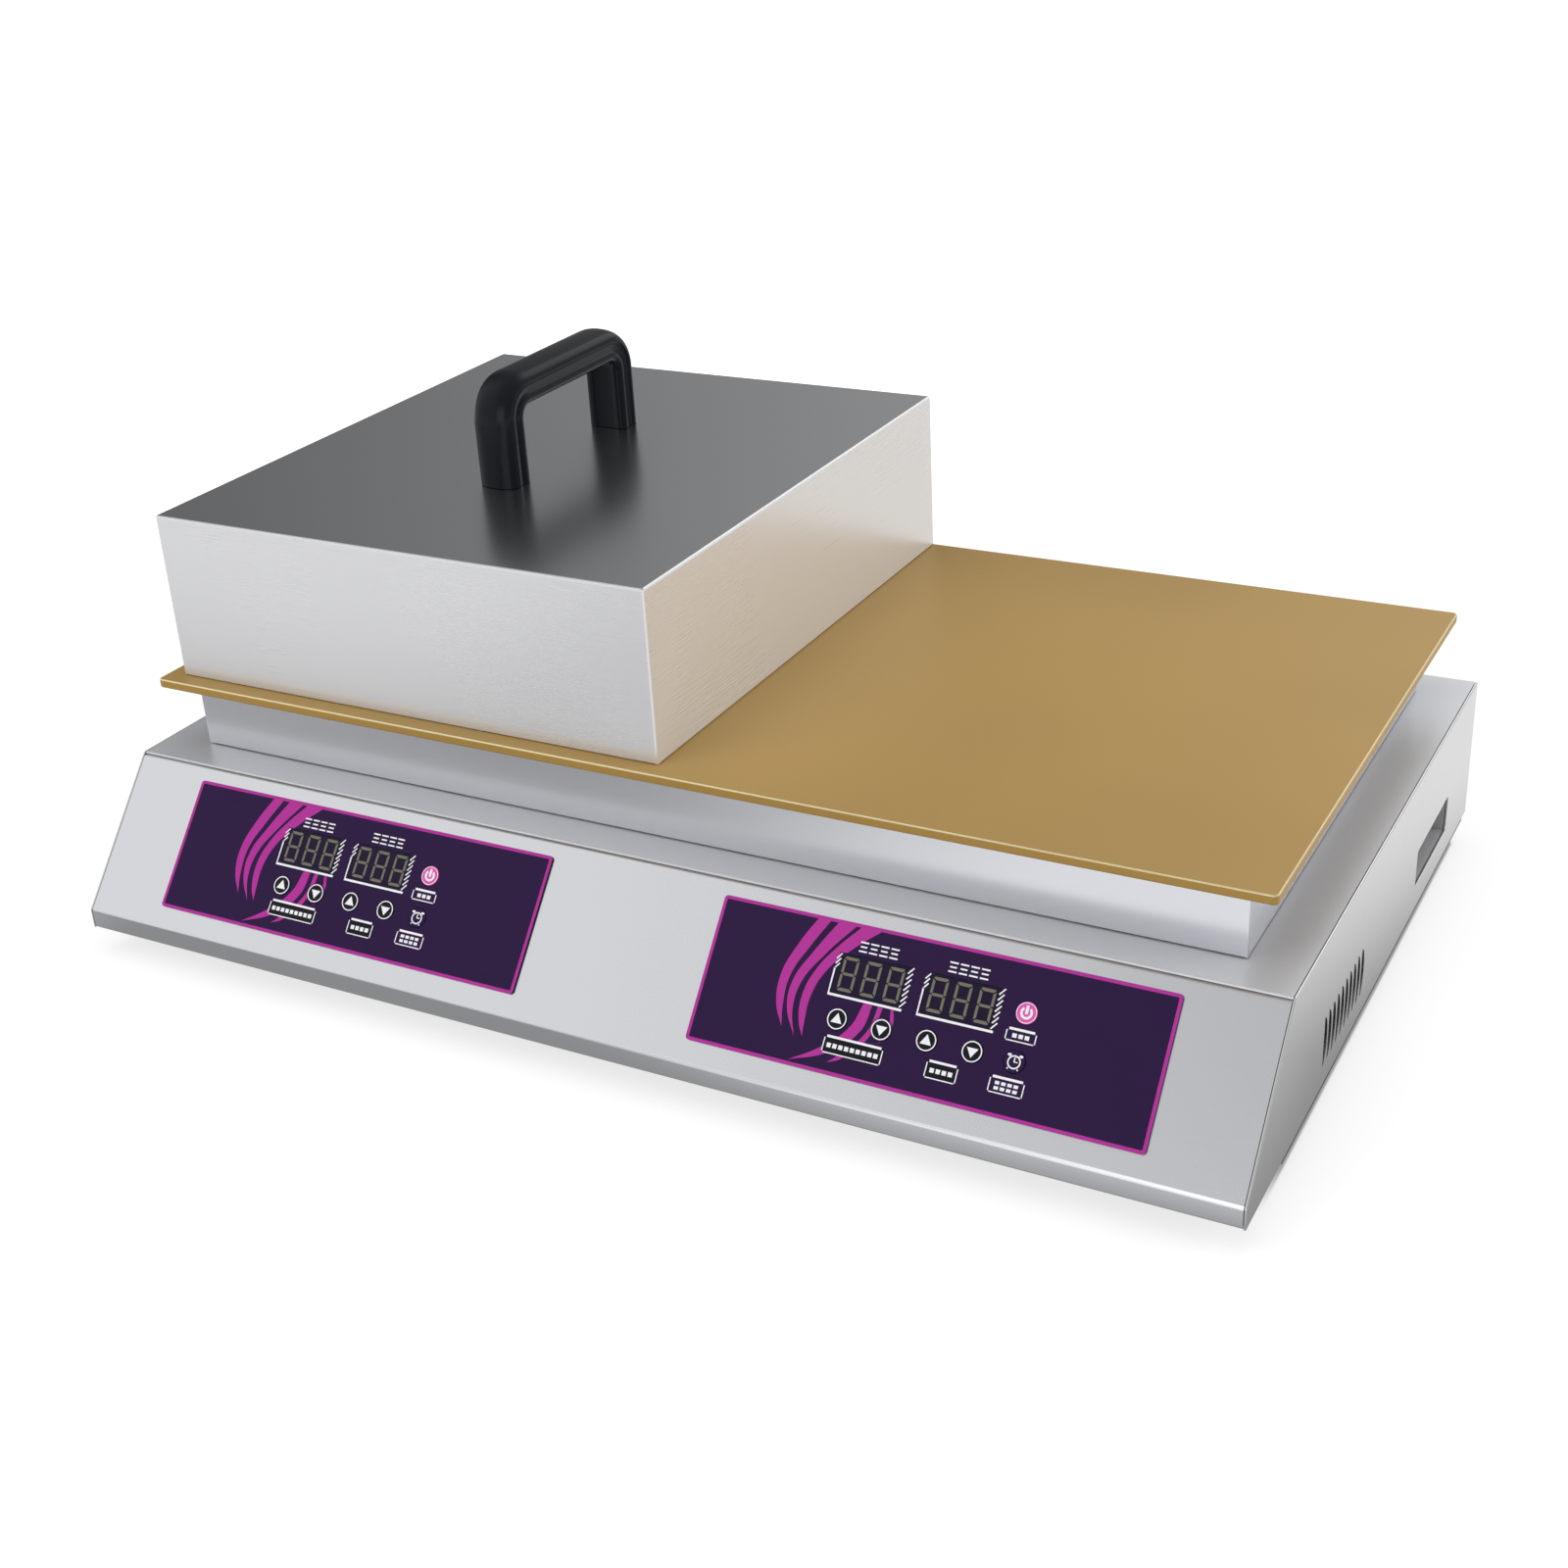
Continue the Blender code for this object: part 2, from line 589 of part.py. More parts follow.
def make_feet():
    """Four rubber feet with their moulded-in studs."""
    stud_top = FOOT_HEIGHT + GAP + SHEET + FOOT_STUD_RISE
    profile = [
        (0, 0),
        (FOOT_BASE_RADIUS, 0),
        (FOOT_RADIUS, FOOT_HEIGHT),
        (FOOT_STUD_RADIUS, FOOT_HEIGHT),
        (FOOT_STUD_RADIUS, stud_top),
        (0, stud_top),
    ]
    for name, (x, y) in foot_places().items():
        bm = bmesh.new()
        add_turned(bm, profile)
        new_piece(f"foot_{name}", bm, "black_rubber", location=(x, y, 0))


def make_skirt():
    """Heater box walls: flanged front and rear walls, and plain side walls between them."""
    low_z = DECK_Z + GAP
    high_z = PLATE_Z - GAP
    walls = {"front": (SKIRT_FRONT_Y, 1), "rear": (SKIRT_REAR_Y, -1)}
    for name, (face_y, inward) in walls.items():
        near, far = sorted((face_y, face_y + inward * SKIRT_SHEET))
        bm = bmesh.new()
        add_box(bm, (-SKIRT_HALF_WIDTH, near, low_z), (SKIRT_HALF_WIDTH, far, high_z))
        wall = new_piece(f"skirt_{name}", bm, "brushed_steel")
        near, far = sorted((face_y + inward * SKIRT_SHEET / 2, face_y + inward * SKIRT_FLANGE))
        half_width = SKIRT_HALF_WIDTH - SKIRT_SHEET - GAP
        bm = bmesh.new()
        add_box(bm, (-half_width, near, high_z - SKIRT_SHEET), (half_width, far, high_z))
        combine(wall, new_guide(f"skirt_{name}_flange", bm), "UNION")
    near = SKIRT_FRONT_Y + SKIRT_SHEET + GAP
    far = SKIRT_REAR_Y - SKIRT_SHEET - GAP
    for name, side in SIDES.items():
        low_x, high_x = sorted((side * SKIRT_HALF_WIDTH, side * (SKIRT_HALF_WIDTH - SKIRT_SHEET)))
        bm = bmesh.new()
        add_box(bm, (low_x, near, low_z), (high_x, far, high_z))
        new_piece(f"skirt_{name}", bm, "brushed_steel")


def make_griddle_plate():
    """Griddle plate: one thick plate with rounded edges and a blind hole for each clamp bolt."""
    bm = bmesh.new()
    outline = rounded_rectangle(PLATE_WIDTH, PLATE_DEPTH, PLATE_CORNER_RADIUS)
    place = Matrix.Translation((0, PLATE_MIDDLE_Y, 0))
    add_prism(bm, outline, PLATE_Z, PLATE_TOP_Z, place)
    rims = [edge for edge in bm.edges if len({round(vert.co.z / WELD) for vert in edge.verts}) == 1]
    radius = PLATE_EDGE_share * PLATE_THICKNESS
    bmesh.ops.bevel(bm, geom=rims, offset=radius, segments=EDGE_SEGMENTS, profile=0.5, affect="EDGES")
    plate = new_piece("griddle_plate", bm, "bronze_plate")
    bm = bmesh.new()
    depth = CLAMP_BOLT_BITE_share * PLATE_THICKNESS + GAP
    for side in SIDES.values():
        place = Matrix.Translation((side * ZONE_OFFSET, PLATE_MIDDLE_Y, PLATE_Z))
        add_cylinder(bm, CLAMP_BOLT_RADIUS + GAP, -OVERRUN, depth, place)
    combine(plate, new_guide("plate_bolt_holes", bm), "DIFFERENCE")


def make_heater_tray():
    """Heater tray: shallow tray on the deck that holds the insulation of both zones."""
    half_width = SKIRT_HALF_WIDTH - TRAY_CLEARANCE
    low = (-half_width, SKIRT_FRONT_Y + TRAY_CLEARANCE, DECK_Z + GAP)
    high_z = low[2] + TRAY_WALL_share * SKIRT_HEIGHT
    bm = bmesh.new()
    add_tray(bm, low, (half_width, SKIRT_REAR_Y - TRAY_CLEARANCE, high_z), TRAY_SHEET, TRAY_SHEET, 1)
    tray = new_piece("heater_tray", bm, "galvanised_steel")
    bm = bmesh.new()
    add_wire_holes(bm, DECK_Z - OVERRUN, TRAY_FLOOR_Z + OVERRUN)
    combine(tray, new_guide("tray_wire_holes", bm), "DIFFERENCE")


def element_path(side):
    """Return the serpentine line of a zone's tubular heater."""
    bend = ELEMENT_PITCH / 2
    front_y = SKIRT_FRONT_Y + SKIRT_FLANGE + ELEMENT_MARGIN + bend
    rear_y = SKIRT_REAR_Y - SKIRT_FLANGE - ELEMENT_MARGIN - bend
    first_x = side * ZONE_OFFSET - (ELEMENT_LEGS - 1) / 2 * ELEMENT_PITCH
    points = [Vector((first_x, rear_y, ELEMENT_Z))]
    for gap_index in range(ELEMENT_LEGS - 1):
        centre_x = first_x + (gap_index + 1 / 2) * ELEMENT_PITCH
        towards = -1 if gap_index % 2 == 0 else 1
        centre_y = front_y if towards < 0 else rear_y
        for step in range(ELEMENT_BEND_STEPS + 1):
            angle = math.pi * step / ELEMENT_BEND_STEPS
            x = centre_x - bend * math.cos(angle)
            points.append(Vector((x, centre_y + towards * bend * math.sin(angle), ELEMENT_Z)))
    last_x = first_x + (ELEMENT_LEGS - 1) * ELEMENT_PITCH
    points.append(Vector((last_x, rear_y, ELEMENT_Z)))
    return points


def make_heating_element(name, side):
    """Heating element: one metal-sheathed tube in four legs under its zone of the plate."""
    curve = bpy.data.curves.new(f"{name}_heating_element", "CURVE")
    curve.dimensions = "3D"
    curve.bevel_depth = ELEMENT_RADIUS
    curve.bevel_resolution = TUBE_RESOLUTION
    curve.use_fill_caps = True
    points = element_path(side)
    line = curve.splines.new("POLY")
    line.points.add(len(points) - 1)
    for spot, point in zip(line.points, points):
        spot.co = (*point, 1)
    curve.materials.append(material("heater_sheath"))
    element = bpy.data.objects.new(curve.name, curve)
    bpy.context.scene.collection.objects.link(element)


def make_heater_clamp(name, side):
    """Clamp bar under the element's legs, and the bolt that pulls it up to the plate."""
    centre_x = side * ZONE_OFFSET
    half_length = (ELEMENT_LEGS - 1) / 2 * ELEMENT_PITCH + CLAMP_END
    bm = bmesh.new()
    low = (centre_x - half_length, PLATE_MIDDLE_Y - CLAMP_WIDTH / 2, CLAMP_BOTTOM_Z)
    add_box(bm, low, (centre_x + half_length, PLATE_MIDDLE_Y + CLAMP_WIDTH / 2, CLAMP_TOP_Z))
    clamp = new_piece(f"{name}_heater_clamp", bm, "galvanised_steel")
    bm = bmesh.new()
    place = Matrix.Translation((centre_x, PLATE_MIDDLE_Y, 0))
    hole_radius = CLAMP_BOLT_RADIUS + GAP
    add_cylinder(bm, hole_radius, CLAMP_BOTTOM_Z - OVERRUN, CLAMP_TOP_Z + OVERRUN, place)
    combine(clamp, new_guide(f"{name}_clamp_hole", bm), "DIFFERENCE")

    head_top = CLAMP_BOTTOM_Z - GAP
    head_bottom = head_top - CLAMP_BOLT_HEAD_HEIGHT
    bm = bmesh.new()
    add_cylinder(bm, CLAMP_BOLT_HEAD_RADIUS, head_bottom, head_top, segments=6)
    bolt = new_piece(f"{name}_clamp_bolt", bm, "galvanised_steel", location=place.translation)
    bm = bmesh.new()
    tip = PLATE_Z + CLAMP_BOLT_BITE_share * PLATE_THICKNESS
    add_cylinder(bm, CLAMP_BOLT_RADIUS, head_bottom + CLAMP_BOLT_HEAD_HEIGHT / 2, tip)
    combine(bolt, new_guide(f"{name}_bolt_shank", bm, location=place.translation), "UNION")


def make_insulation(name, side):
    """Insulation pad: ceramic wool that fills its half of the tray under the heater."""
    tray_half = SKIRT_HALF_WIDTH - TRAY_CLEARANCE - TRAY_SHEET
    near_x, far_x = sorted((side * GAP, side * (tray_half - GAP)))
    rear_y = SKIRT_REAR_Y - WIRE_HOLE_SETBACK - WIRE_HOLE_RADIUS - INSULATION_MARGIN
    front_y = SKIRT_FRONT_Y + TRAY_CLEARANCE + TRAY_SHEET + GAP
    bm = bmesh.new()
    add_box(bm, (near_x, front_y, TRAY_FLOOR_Z + GAP), (far_x, rear_y, INSULATION_TOP_Z))
    new_piece(f"{name}_insulation_pad", bm, "ceramic_wool")


def make_sensors(name, side):
    """Temperature probe and limit thermostat, both pressed to the plate's underside."""
    bm = bmesh.new()
    add_cylinder(bm, PROBE_RADIUS, -PROBE_LENGTH / 2, PROBE_LENGTH / 2, FACING_REAR, 12)
    place = (side * ZONE_OFFSET, PLATE_MIDDLE_Y - SENSOR_OFFSET, PLATE_Z - GAP - PROBE_RADIUS)
    new_piece(f"{name}_temperature_probe", bm, "galvanised_steel", location=place)
    profile = [
        (0, -THERMOSTAT_HEIGHT),
        (THERMOSTAT_RADIUS * 3 / 4, -THERMOSTAT_HEIGHT),
        (THERMOSTAT_RADIUS * 3 / 4, -THERMOSTAT_HEIGHT / 4),
        (THERMOSTAT_RADIUS, -THERMOSTAT_HEIGHT / 4),
        (THERMOSTAT_RADIUS, 0),
        (0, 0),
    ]
    bm = bmesh.new()
    add_turned(bm, profile)
    place = (side * ZONE_OFFSET, PLATE_MIDDLE_Y + SENSOR_OFFSET, PLATE_Z - GAP)
    new_piece(f"{name}_limit_thermostat", bm, "white_plastic", location=place)


def make_overlay(name, side, frame):
    """Printed overlay on the fascia, with two display windows and six key holes."""
    bm = bmesh.new()
    outline = rounded_rectangle(PANEL_WIDTH, PANEL_HEIGHT, PANEL_CORNER_RADIUS)
    middle = (side * PANEL_OFFSET, -PANEL_TOP_MARGIN - PANEL_HEIGHT / 2, 0)
    add_prism(bm, outline, GAP, PANEL_FACE, Matrix.Translation(middle))
    overlay = new_piece(f"{name}_control_overlay", bm, "purple_overlay", frame)
    bm = bmesh.new()
    add_panel_openings(bm, side, GAP - OVERRUN, PANEL_FACE + OVERRUN)
    combine(overlay, new_guide(f"{name}_overlay_openings", bm, frame), "DIFFERENCE")


def make_displays(name, side, frame):
    """Two three-digit display modules that stand on the board and fill the windows."""
    half = Vector((DISPLAY_WIDTH / 2, DISPLAY_HEIGHT / 2, 0))
    for kind, place in display_places(side).items():
        bm = bmesh.new()
        add_box(bm, -half + Vector((0, 0, BOARD_FACE + GAP)), half + Vector((0, 0, PANEL_FACE)))
        new_piece(f"{name}_{kind}_display", bm, "display_window", frame, place)


def make_keys(name, side, frame):
    """Six push keys, each a plunger with a collar behind the fascia and a stem to its switch."""
    collar_top = -SHEET - GAP
    collar_bottom = collar_top - KEY_COLLAR_HEIGHT
    stem_end = BOARD_FACE + SWITCH_HEIGHT + KEY_TRAVEL + GAP
    profile = [
        (0, stem_end),
        (KEY_STEM_RADIUS, stem_end),
        (KEY_STEM_RADIUS, collar_bottom),
        (KEY_RADIUS + KEY_COLLAR, collar_bottom),
        (KEY_RADIUS + KEY_COLLAR, collar_top),
        (KEY_RADIUS, collar_top),
        (KEY_RADIUS, PANEL_FACE + KEY_PROUD),
        (0, PANEL_FACE + KEY_PROUD),
    ]
    for kind, place in key_places(side).items():
        bm = bmesh.new()
        add_turned(bm, profile)
        new_piece(f"{name}_{kind}_key", bm, "key_print", frame, place)


def make_control_board(name, side, frame):
    """Control board behind a panel, with its posts to the fascia and a switch under each key."""
    displays = display_places(side)
    keys = key_places(side)
    left = displays["temperature"].x - DISPLAY_WIDTH / 2 - BOARD_MARGIN
    right = keys["timer"].x + KEY_RADIUS + BOARD_MARGIN
    top = -PANEL_TOP_MARGIN - BOARD_TRIM
    bottom = -PANEL_TOP_MARGIN - PANEL_HEIGHT + BOARD_TRIM
    bm = bmesh.new()
    add_box(bm, (left, bottom, BOARD_FACE - BOARD_THICKNESS), (right, top, BOARD_FACE))
    board = new_piece(f"{name}_control_board", bm, "circuit_board", frame)
    bm = bmesh.new()
    seat = BOARD_FACE - BOARD_THICKNESS / 2
    for x in (left + BOARD_POST_INSET, right - BOARD_POST_INSET):
        for y in (bottom + BOARD_POST_INSET, top - BOARD_POST_INSET):
            place = Matrix.Translation((x, y, 0))
            add_cylinder(bm, BOARD_POST_RADIUS, seat, -SHEET - GAP, place, 12)
    for key in keys.values():
        half = Vector((SWITCH_SIZE / 2, SWITCH_SIZE / 2, 0))
        top_corner = key + half + Vector((0, 0, BOARD_FACE + SWITCH_HEIGHT))
        add_box(bm, key - half + Vector((0, 0, seat)), top_corner)
    combine(board, new_guide(f"{name}_board_fittings", bm, frame), "UNION")


def make_relay(name, side):
    """Solid state relay on the base pan: a metal foot under a plastic block with end ledges."""
    middle = Vector((side * RELAY_OFFSET, (FRONT_Y + REAR_Y) / 2, PAN_FLOOR_Z + GAP))
    half = Vector((RELAY_WIDTH / 2, RELAY_DEPTH / 2, 0))
    bm = bmesh.new()
    add_box(bm, -half, half + Vector((0, 0, RELAY_HEIGHT * 3 / 4)))
    relay = new_piece(f"{name}_solid_state_relay", bm, "white_plastic", location=middle)
    bm = bmesh.new()
    ledge = Vector((0, RELAY_LEDGE, 0))
    add_box(bm, -half + ledge + Vector((0, 0, RELAY_BASE)), half - ledge + Vector((0, 0, RELAY_HEIGHT)))
    combine(relay, new_guide(f"{name}_relay_top", bm, location=middle), "UNION")


def make_terminal_block():
    """Terminal block on the base pan near the gland, with a row of screw wells."""
    middle = Vector((GLAND_X - TERMINAL_WIDTH, REAR_Y - TERMINAL_SETBACK, PAN_FLOOR_Z + GAP))
    half = Vector((TERMINAL_WIDTH / 2, TERMINAL_DEPTH / 2, 0))
    bm = bmesh.new()
    add_box(bm, -half, half + Vector((0, 0, TERMINAL_HEIGHT)))
    block = new_piece("terminal_block", bm, "white_plastic", location=middle)
    bm = bmesh.new()
    for index in range(TERMINAL_COUNT):
        x = (index - (TERMINAL_COUNT - 1) / 2) * TERMINAL_WIDTH / TERMINAL_COUNT
        place = Matrix.Translation((x, 0, TERMINAL_HEIGHT))
        add_cylinder(bm, TERMINAL_WELL_RADIUS, -TERMINAL_WELL_DEPTH, OVERRUN, place, 12)
    combine(block, new_guide("terminal_wells", bm, location=middle), "DIFFERENCE")


def make_cable_gland():
    """Cable gland through the rear panel: threaded tube, hexagon, round cap and tapered mouth."""
    place = Matrix.Translation((GLAND_X, REAR_Y, GLAND_Z)) @ FACING_REAR
    hex_top = GAP + GLAND_HEX_HEIGHT
    cap_top = hex_top + GLAND_CAP_HEIGHT
    profile = [
        (GLAND_BORE_RADIUS, -SHEET - GLAND_THREAD_LENGTH),
        (GLAND_THREAD_RADIUS, -SHEET - GLAND_THREAD_LENGTH),
        (GLAND_THREAD_RADIUS, hex_top / 2),
        (GLAND_CAP_RADIUS, hex_top / 2),
        (GLAND_CAP_RADIUS, cap_top),
        (GLAND_MOUTH_RADIUS, GLAND_REACH),
        (GLAND_BORE_RADIUS, GLAND_REACH),
    ]
    bm = bmesh.new()
    add_turned(bm, profile, place=place, ring=True)
    gland = new_piece("cable_gland", bm, "black_plastic")
    seat_radius = (GLAND_BORE_RADIUS + GLAND_THREAD_RADIUS) / 2
    ring = [
        (seat_radius, GAP),
        (GLAND_HEX_RADIUS, GAP),
        (GLAND_HEX_RADIUS, hex_top),
        (seat_radius, hex_top),
    ]
    bm = bmesh.new()
    add_turned(bm, ring, 6, place, ring=True)
    combine(gland, new_guide("gland_hexagon", bm), "UNION")

    hole_radius = GLAND_THREAD_RADIUS + GAP
    nut_low = -SHEET - GAP - GLAND_NUT_HEIGHT
    bm = bmesh.new()
    add_cylinder(bm, GLAND_HEX_RADIUS, nut_low, -SHEET - GAP, place, 6)
    nut = new_piece("gland_nut", bm, "black_plastic")
    bm = bmesh.new()
    add_cylinder(bm, hole_radius, nut_low - OVERRUN, OVERRUN, place)
    combine(nut, new_guide("gland_nut_hole", bm), "DIFFERENCE")


def handle_screw_places():
    """Return world X and Y of each handle screw by name."""
    return {
        "front": (LID_MIDDLE_X, LID_MIDDLE_Y - HANDLE_SPAN / 2),
        "rear": (LID_MIDDLE_X, LID_MIDDLE_Y + HANDLE_SPAN / 2),
    }


def make_lid_shell():
    """Lid shell: a folded box that is open below, with two holes for the handle's screws."""
    bm = bmesh.new()
    high = (LID_LEFT_X + LID_WIDTH, LID_FRONT_Y + LID_DEPTH, LID_TOP_Z)
    add_tray(bm, (LID_LEFT_X, LID_FRONT_Y, LID_Z), high, LID_SHEET, LID_SHEET, -1)
    shell = new_piece("lid_shell", bm, "brushed_steel")
    bm = bmesh.new()
    for x, y in handle_screw_places().values():
        place = Matrix.Translation((x, y, LID_TOP_Z))
        add_cylinder(bm, SCREW_RADIUS + GAP, -LID_SHEET - OVERRUN, OVERRUN, place)
    combine(shell, new_guide("lid_screw_holes", bm), "DIFFERENCE")


def handle_path():
    """Return the handle's middle line as (along Y, height, angle) from foot to foot."""
    half_span = HANDLE_SPAN / 2
    bar_height = HANDLE_HEIGHT - HANDLE_THICKNESS / 2
    bend = HANDLE_BEND_RADIUS
    stops = [(-half_span, 0, math.pi)]
    for side, turn in ((-1, math.pi), (1, math.pi / 2)):
        for step in range(HANDLE_BEND_STEPS + 1):
            angle = turn - math.pi / 2 * step / HANDLE_BEND_STEPS
            along = side * (half_span - bend) + bend * math.cos(angle)
            stops.append((along, bar_height - bend + bend * math.sin(angle), angle))
    stops.append((half_span, 0, 0))
    return stops


def handle_section():
    """Return the handle's section: a rounded oblong, wider across than it is thick."""
    points = []
    power = 2 / HANDLE_SQUARENESS
    for step in range(HANDLE_SECTION_POINTS):
        angle = math.tau * step / HANDLE_SECTION_POINTS
        across = math.copysign(abs(math.cos(angle)) ** power, math.cos(angle))
        through = math.copysign(abs(math.sin(angle)) ** power, math.sin(angle))
        points.append((across * HANDLE_WIDTH / 2, through * HANDLE_THICKNESS / 2))
    return points


def make_lid_handle():
    """Bridge handle of moulded plastic, with a blind screw hole in each leg."""
    base = Vector((LID_MIDDLE_X, LID_MIDDLE_Y, LID_TOP_Z + GAP))
    bm = bmesh.new()
    rings = []
    for along, height, angle in handle_path():
        outward = Vector((0, math.cos(angle), math.sin(angle)))
        centre = Vector((0, along, height))
        ring = [bm.verts.new(centre + Vector((x, 0, 0)) + outward * out) for x, out in handle_section()]
        rings.append(ring)
    for lower, upper in zip(rings, rings[1:]):
        for index in range(HANDLE_SECTION_POINTS):
            after = (index + 1) % HANDLE_SECTION_POINTS
            bm.faces.new((lower[index], lower[after], upper[after], upper[index]))
    bm.faces.new(rings[0])
    bm.faces.new(rings[-1])
    handle = new_piece("lid_handle", bm, "black_plastic", location=base)
    bm = bmesh.new()
    for side in SIDES.values():
        place = Matrix.Translation((0, side * HANDLE_SPAN / 2, 0))
        add_cylinder(bm, SCREW_RADIUS + GAP, -OVERRUN, SCREW_BITE + GAP, place)
    combine(handle, new_guide("handle_screw_holes", bm, location=base), "DIFFERENCE")


def make_handle_screws():
    """Two pan-head screws, up from inside the lid into the handle's legs."""
    head_top = LID_TOP_Z - LID_SHEET - GAP
    tip = LID_TOP_Z + GAP + SCREW_BITE
    profile = [
        (0, head_top - SCREW_HEAD_HEIGHT),
        (SCREW_HEAD_RADIUS * 3 / 4, head_top - SCREW_HEAD_HEIGHT),
        (SCREW_HEAD_RADIUS, head_top - SCREW_HEAD_HEIGHT / 2),
        (SCREW_HEAD_RADIUS, head_top),
        (SCREW_RADIUS, head_top),
        (SCREW_RADIUS, tip),
        (0, tip),
    ]
    for name, (x, y) in handle_screw_places().items():
        bm = bmesh.new()
        add_turned(bm, profile)
        new_piece(f"handle_screw_{name}", bm, "galvanised_steel", location=(x, y, 0))


def main():
    """Build the machine from the ground up."""
    clear_scene()
    frame = fascia_frame()
    make_feet()
    make_base_pan()
    make_front_fascia(frame)
    make_top_deck()
    make_rear_panel()
    make_skirt()
    make_heater_tray()
    make_griddle_plate()
    make_terminal_block()
    make_cable_gland()
    for name, side in SIDES.items():
        make_side_panel(name, side)
        make_grip_pocket(name, side)
        make_heating_element(name, side)
        make_heater_clamp(name, side)
        make_insulation(name, side)
        make_sensors(name, side)
        make_overlay(name, side, frame)
        make_displays(name, side, frame)
        make_keys(name, side, frame)
        make_control_board(name, side, frame)
        make_relay(name, side)
    make_lid_shell()
    make_lid_handle()
    make_handle_screws()
    bpy.context.view_layer.update()


main()
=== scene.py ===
"""Looks of the souffle pancake maker: its finishes, printed panels and fine edges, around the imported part.

Metres, in the part's own frame: +Z up, the control panels towards -Y, and the
origin under the middle of the machine, on the surface that its feet stand on.
"""

import logging
import math
from contextlib import contextmanager
from dataclasses import dataclass, field, replace
from enum import Enum
from typing import Callable, Iterator, Sequence

import bmesh
import bpy
from mathutils import Matrix, Vector


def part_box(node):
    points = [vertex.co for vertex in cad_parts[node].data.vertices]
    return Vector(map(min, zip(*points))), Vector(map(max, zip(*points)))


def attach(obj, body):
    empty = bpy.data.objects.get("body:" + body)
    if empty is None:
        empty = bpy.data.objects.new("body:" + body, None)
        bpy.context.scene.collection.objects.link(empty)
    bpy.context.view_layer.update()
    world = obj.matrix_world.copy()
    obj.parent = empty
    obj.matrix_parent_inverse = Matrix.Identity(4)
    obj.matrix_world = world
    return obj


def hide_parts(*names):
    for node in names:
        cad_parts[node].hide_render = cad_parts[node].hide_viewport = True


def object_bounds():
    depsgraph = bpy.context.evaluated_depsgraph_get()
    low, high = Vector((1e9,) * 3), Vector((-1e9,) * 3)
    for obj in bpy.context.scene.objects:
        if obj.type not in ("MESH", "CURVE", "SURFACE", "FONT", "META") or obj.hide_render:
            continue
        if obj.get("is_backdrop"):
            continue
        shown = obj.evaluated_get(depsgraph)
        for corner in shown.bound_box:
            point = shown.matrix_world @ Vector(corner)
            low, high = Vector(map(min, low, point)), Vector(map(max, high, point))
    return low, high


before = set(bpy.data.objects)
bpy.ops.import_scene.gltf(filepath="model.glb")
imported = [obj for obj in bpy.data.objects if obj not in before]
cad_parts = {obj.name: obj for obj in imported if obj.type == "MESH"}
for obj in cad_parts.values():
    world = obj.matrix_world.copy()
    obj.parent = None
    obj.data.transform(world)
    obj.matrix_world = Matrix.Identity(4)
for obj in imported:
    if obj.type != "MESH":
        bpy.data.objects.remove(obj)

LOG = logging.getLogger("dressing")

MM = 0.001
GAP = 0.3 * MM
SHEET = 1.2 * MM
TINY = 0.01 * MM
OVERRUN = 2 * MM
# A unit vector's part along an axis that it runs nearly along, and nearly square to
NEARLY = 0.9
ACROSS = 0.1
SHARP_FROM = math.radians(30)
SMOOTH_UP_TO = math.radians(35)
SIDES = {"left": -1, "right": 1}

Colour = tuple[float, float, float]
Point = tuple[float, float]
Test = Callable[[Vector, Vector], bool]

# Local x, y, z of an outline become world Y, Z, X
ALONG_X = Matrix(((0, 0, 1, 0), (1, 0, 0, 0), (0, 1, 0, 0), (0, 0, 0, 1)))
# Local x, y, z of an outline become world X, Z, -Y
ALONG_Y = Matrix(((1, 0, 0, 0), (0, 0, -1, 0), (0, 1, 0, 0), (0, 0, 0, 1)))


class Part(Enum):
    """The kinds of mesh element that can be picked, as Blender's select mode names them."""

    FACE = "FACE"
    EDGE = "EDGE"
    VERT = "VERT"


class Grain(Enum):
    """The way a sheet's grain runs, as the stretch of its noise along X, Y and Z."""

    ACROSS = (1, 70, 70)
    FRONT_TO_BACK = (70, 1, 70)


# Places


def middle(node: str) -> Vector:
    """Return the middle of a solid's box."""
    low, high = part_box(node)
    return (low + high) / 2


def rearward(place: Sequence[float]) -> Matrix:
    """Return a frame at a place, with its z towards the rear."""
    return Matrix.Translation(place) @ Matrix.Rotation(-math.pi / 2, 4, "X")


def spread(centre: float, count: int, pitch: float) -> list[float]:
    """Return evenly spaced places on both sides of a centre."""
    return [centre + (index - (count - 1) / 2) * pitch for index in range(count)]


def depth_behind(node: str, slope: Matrix) -> float:
    """Return how deep a solid reaches behind the slope, from the frame's own mesh."""
    inside = slope.inverted()
    return min((inside @ vert.co).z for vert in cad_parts[node].data.vertices)


# Shader maths


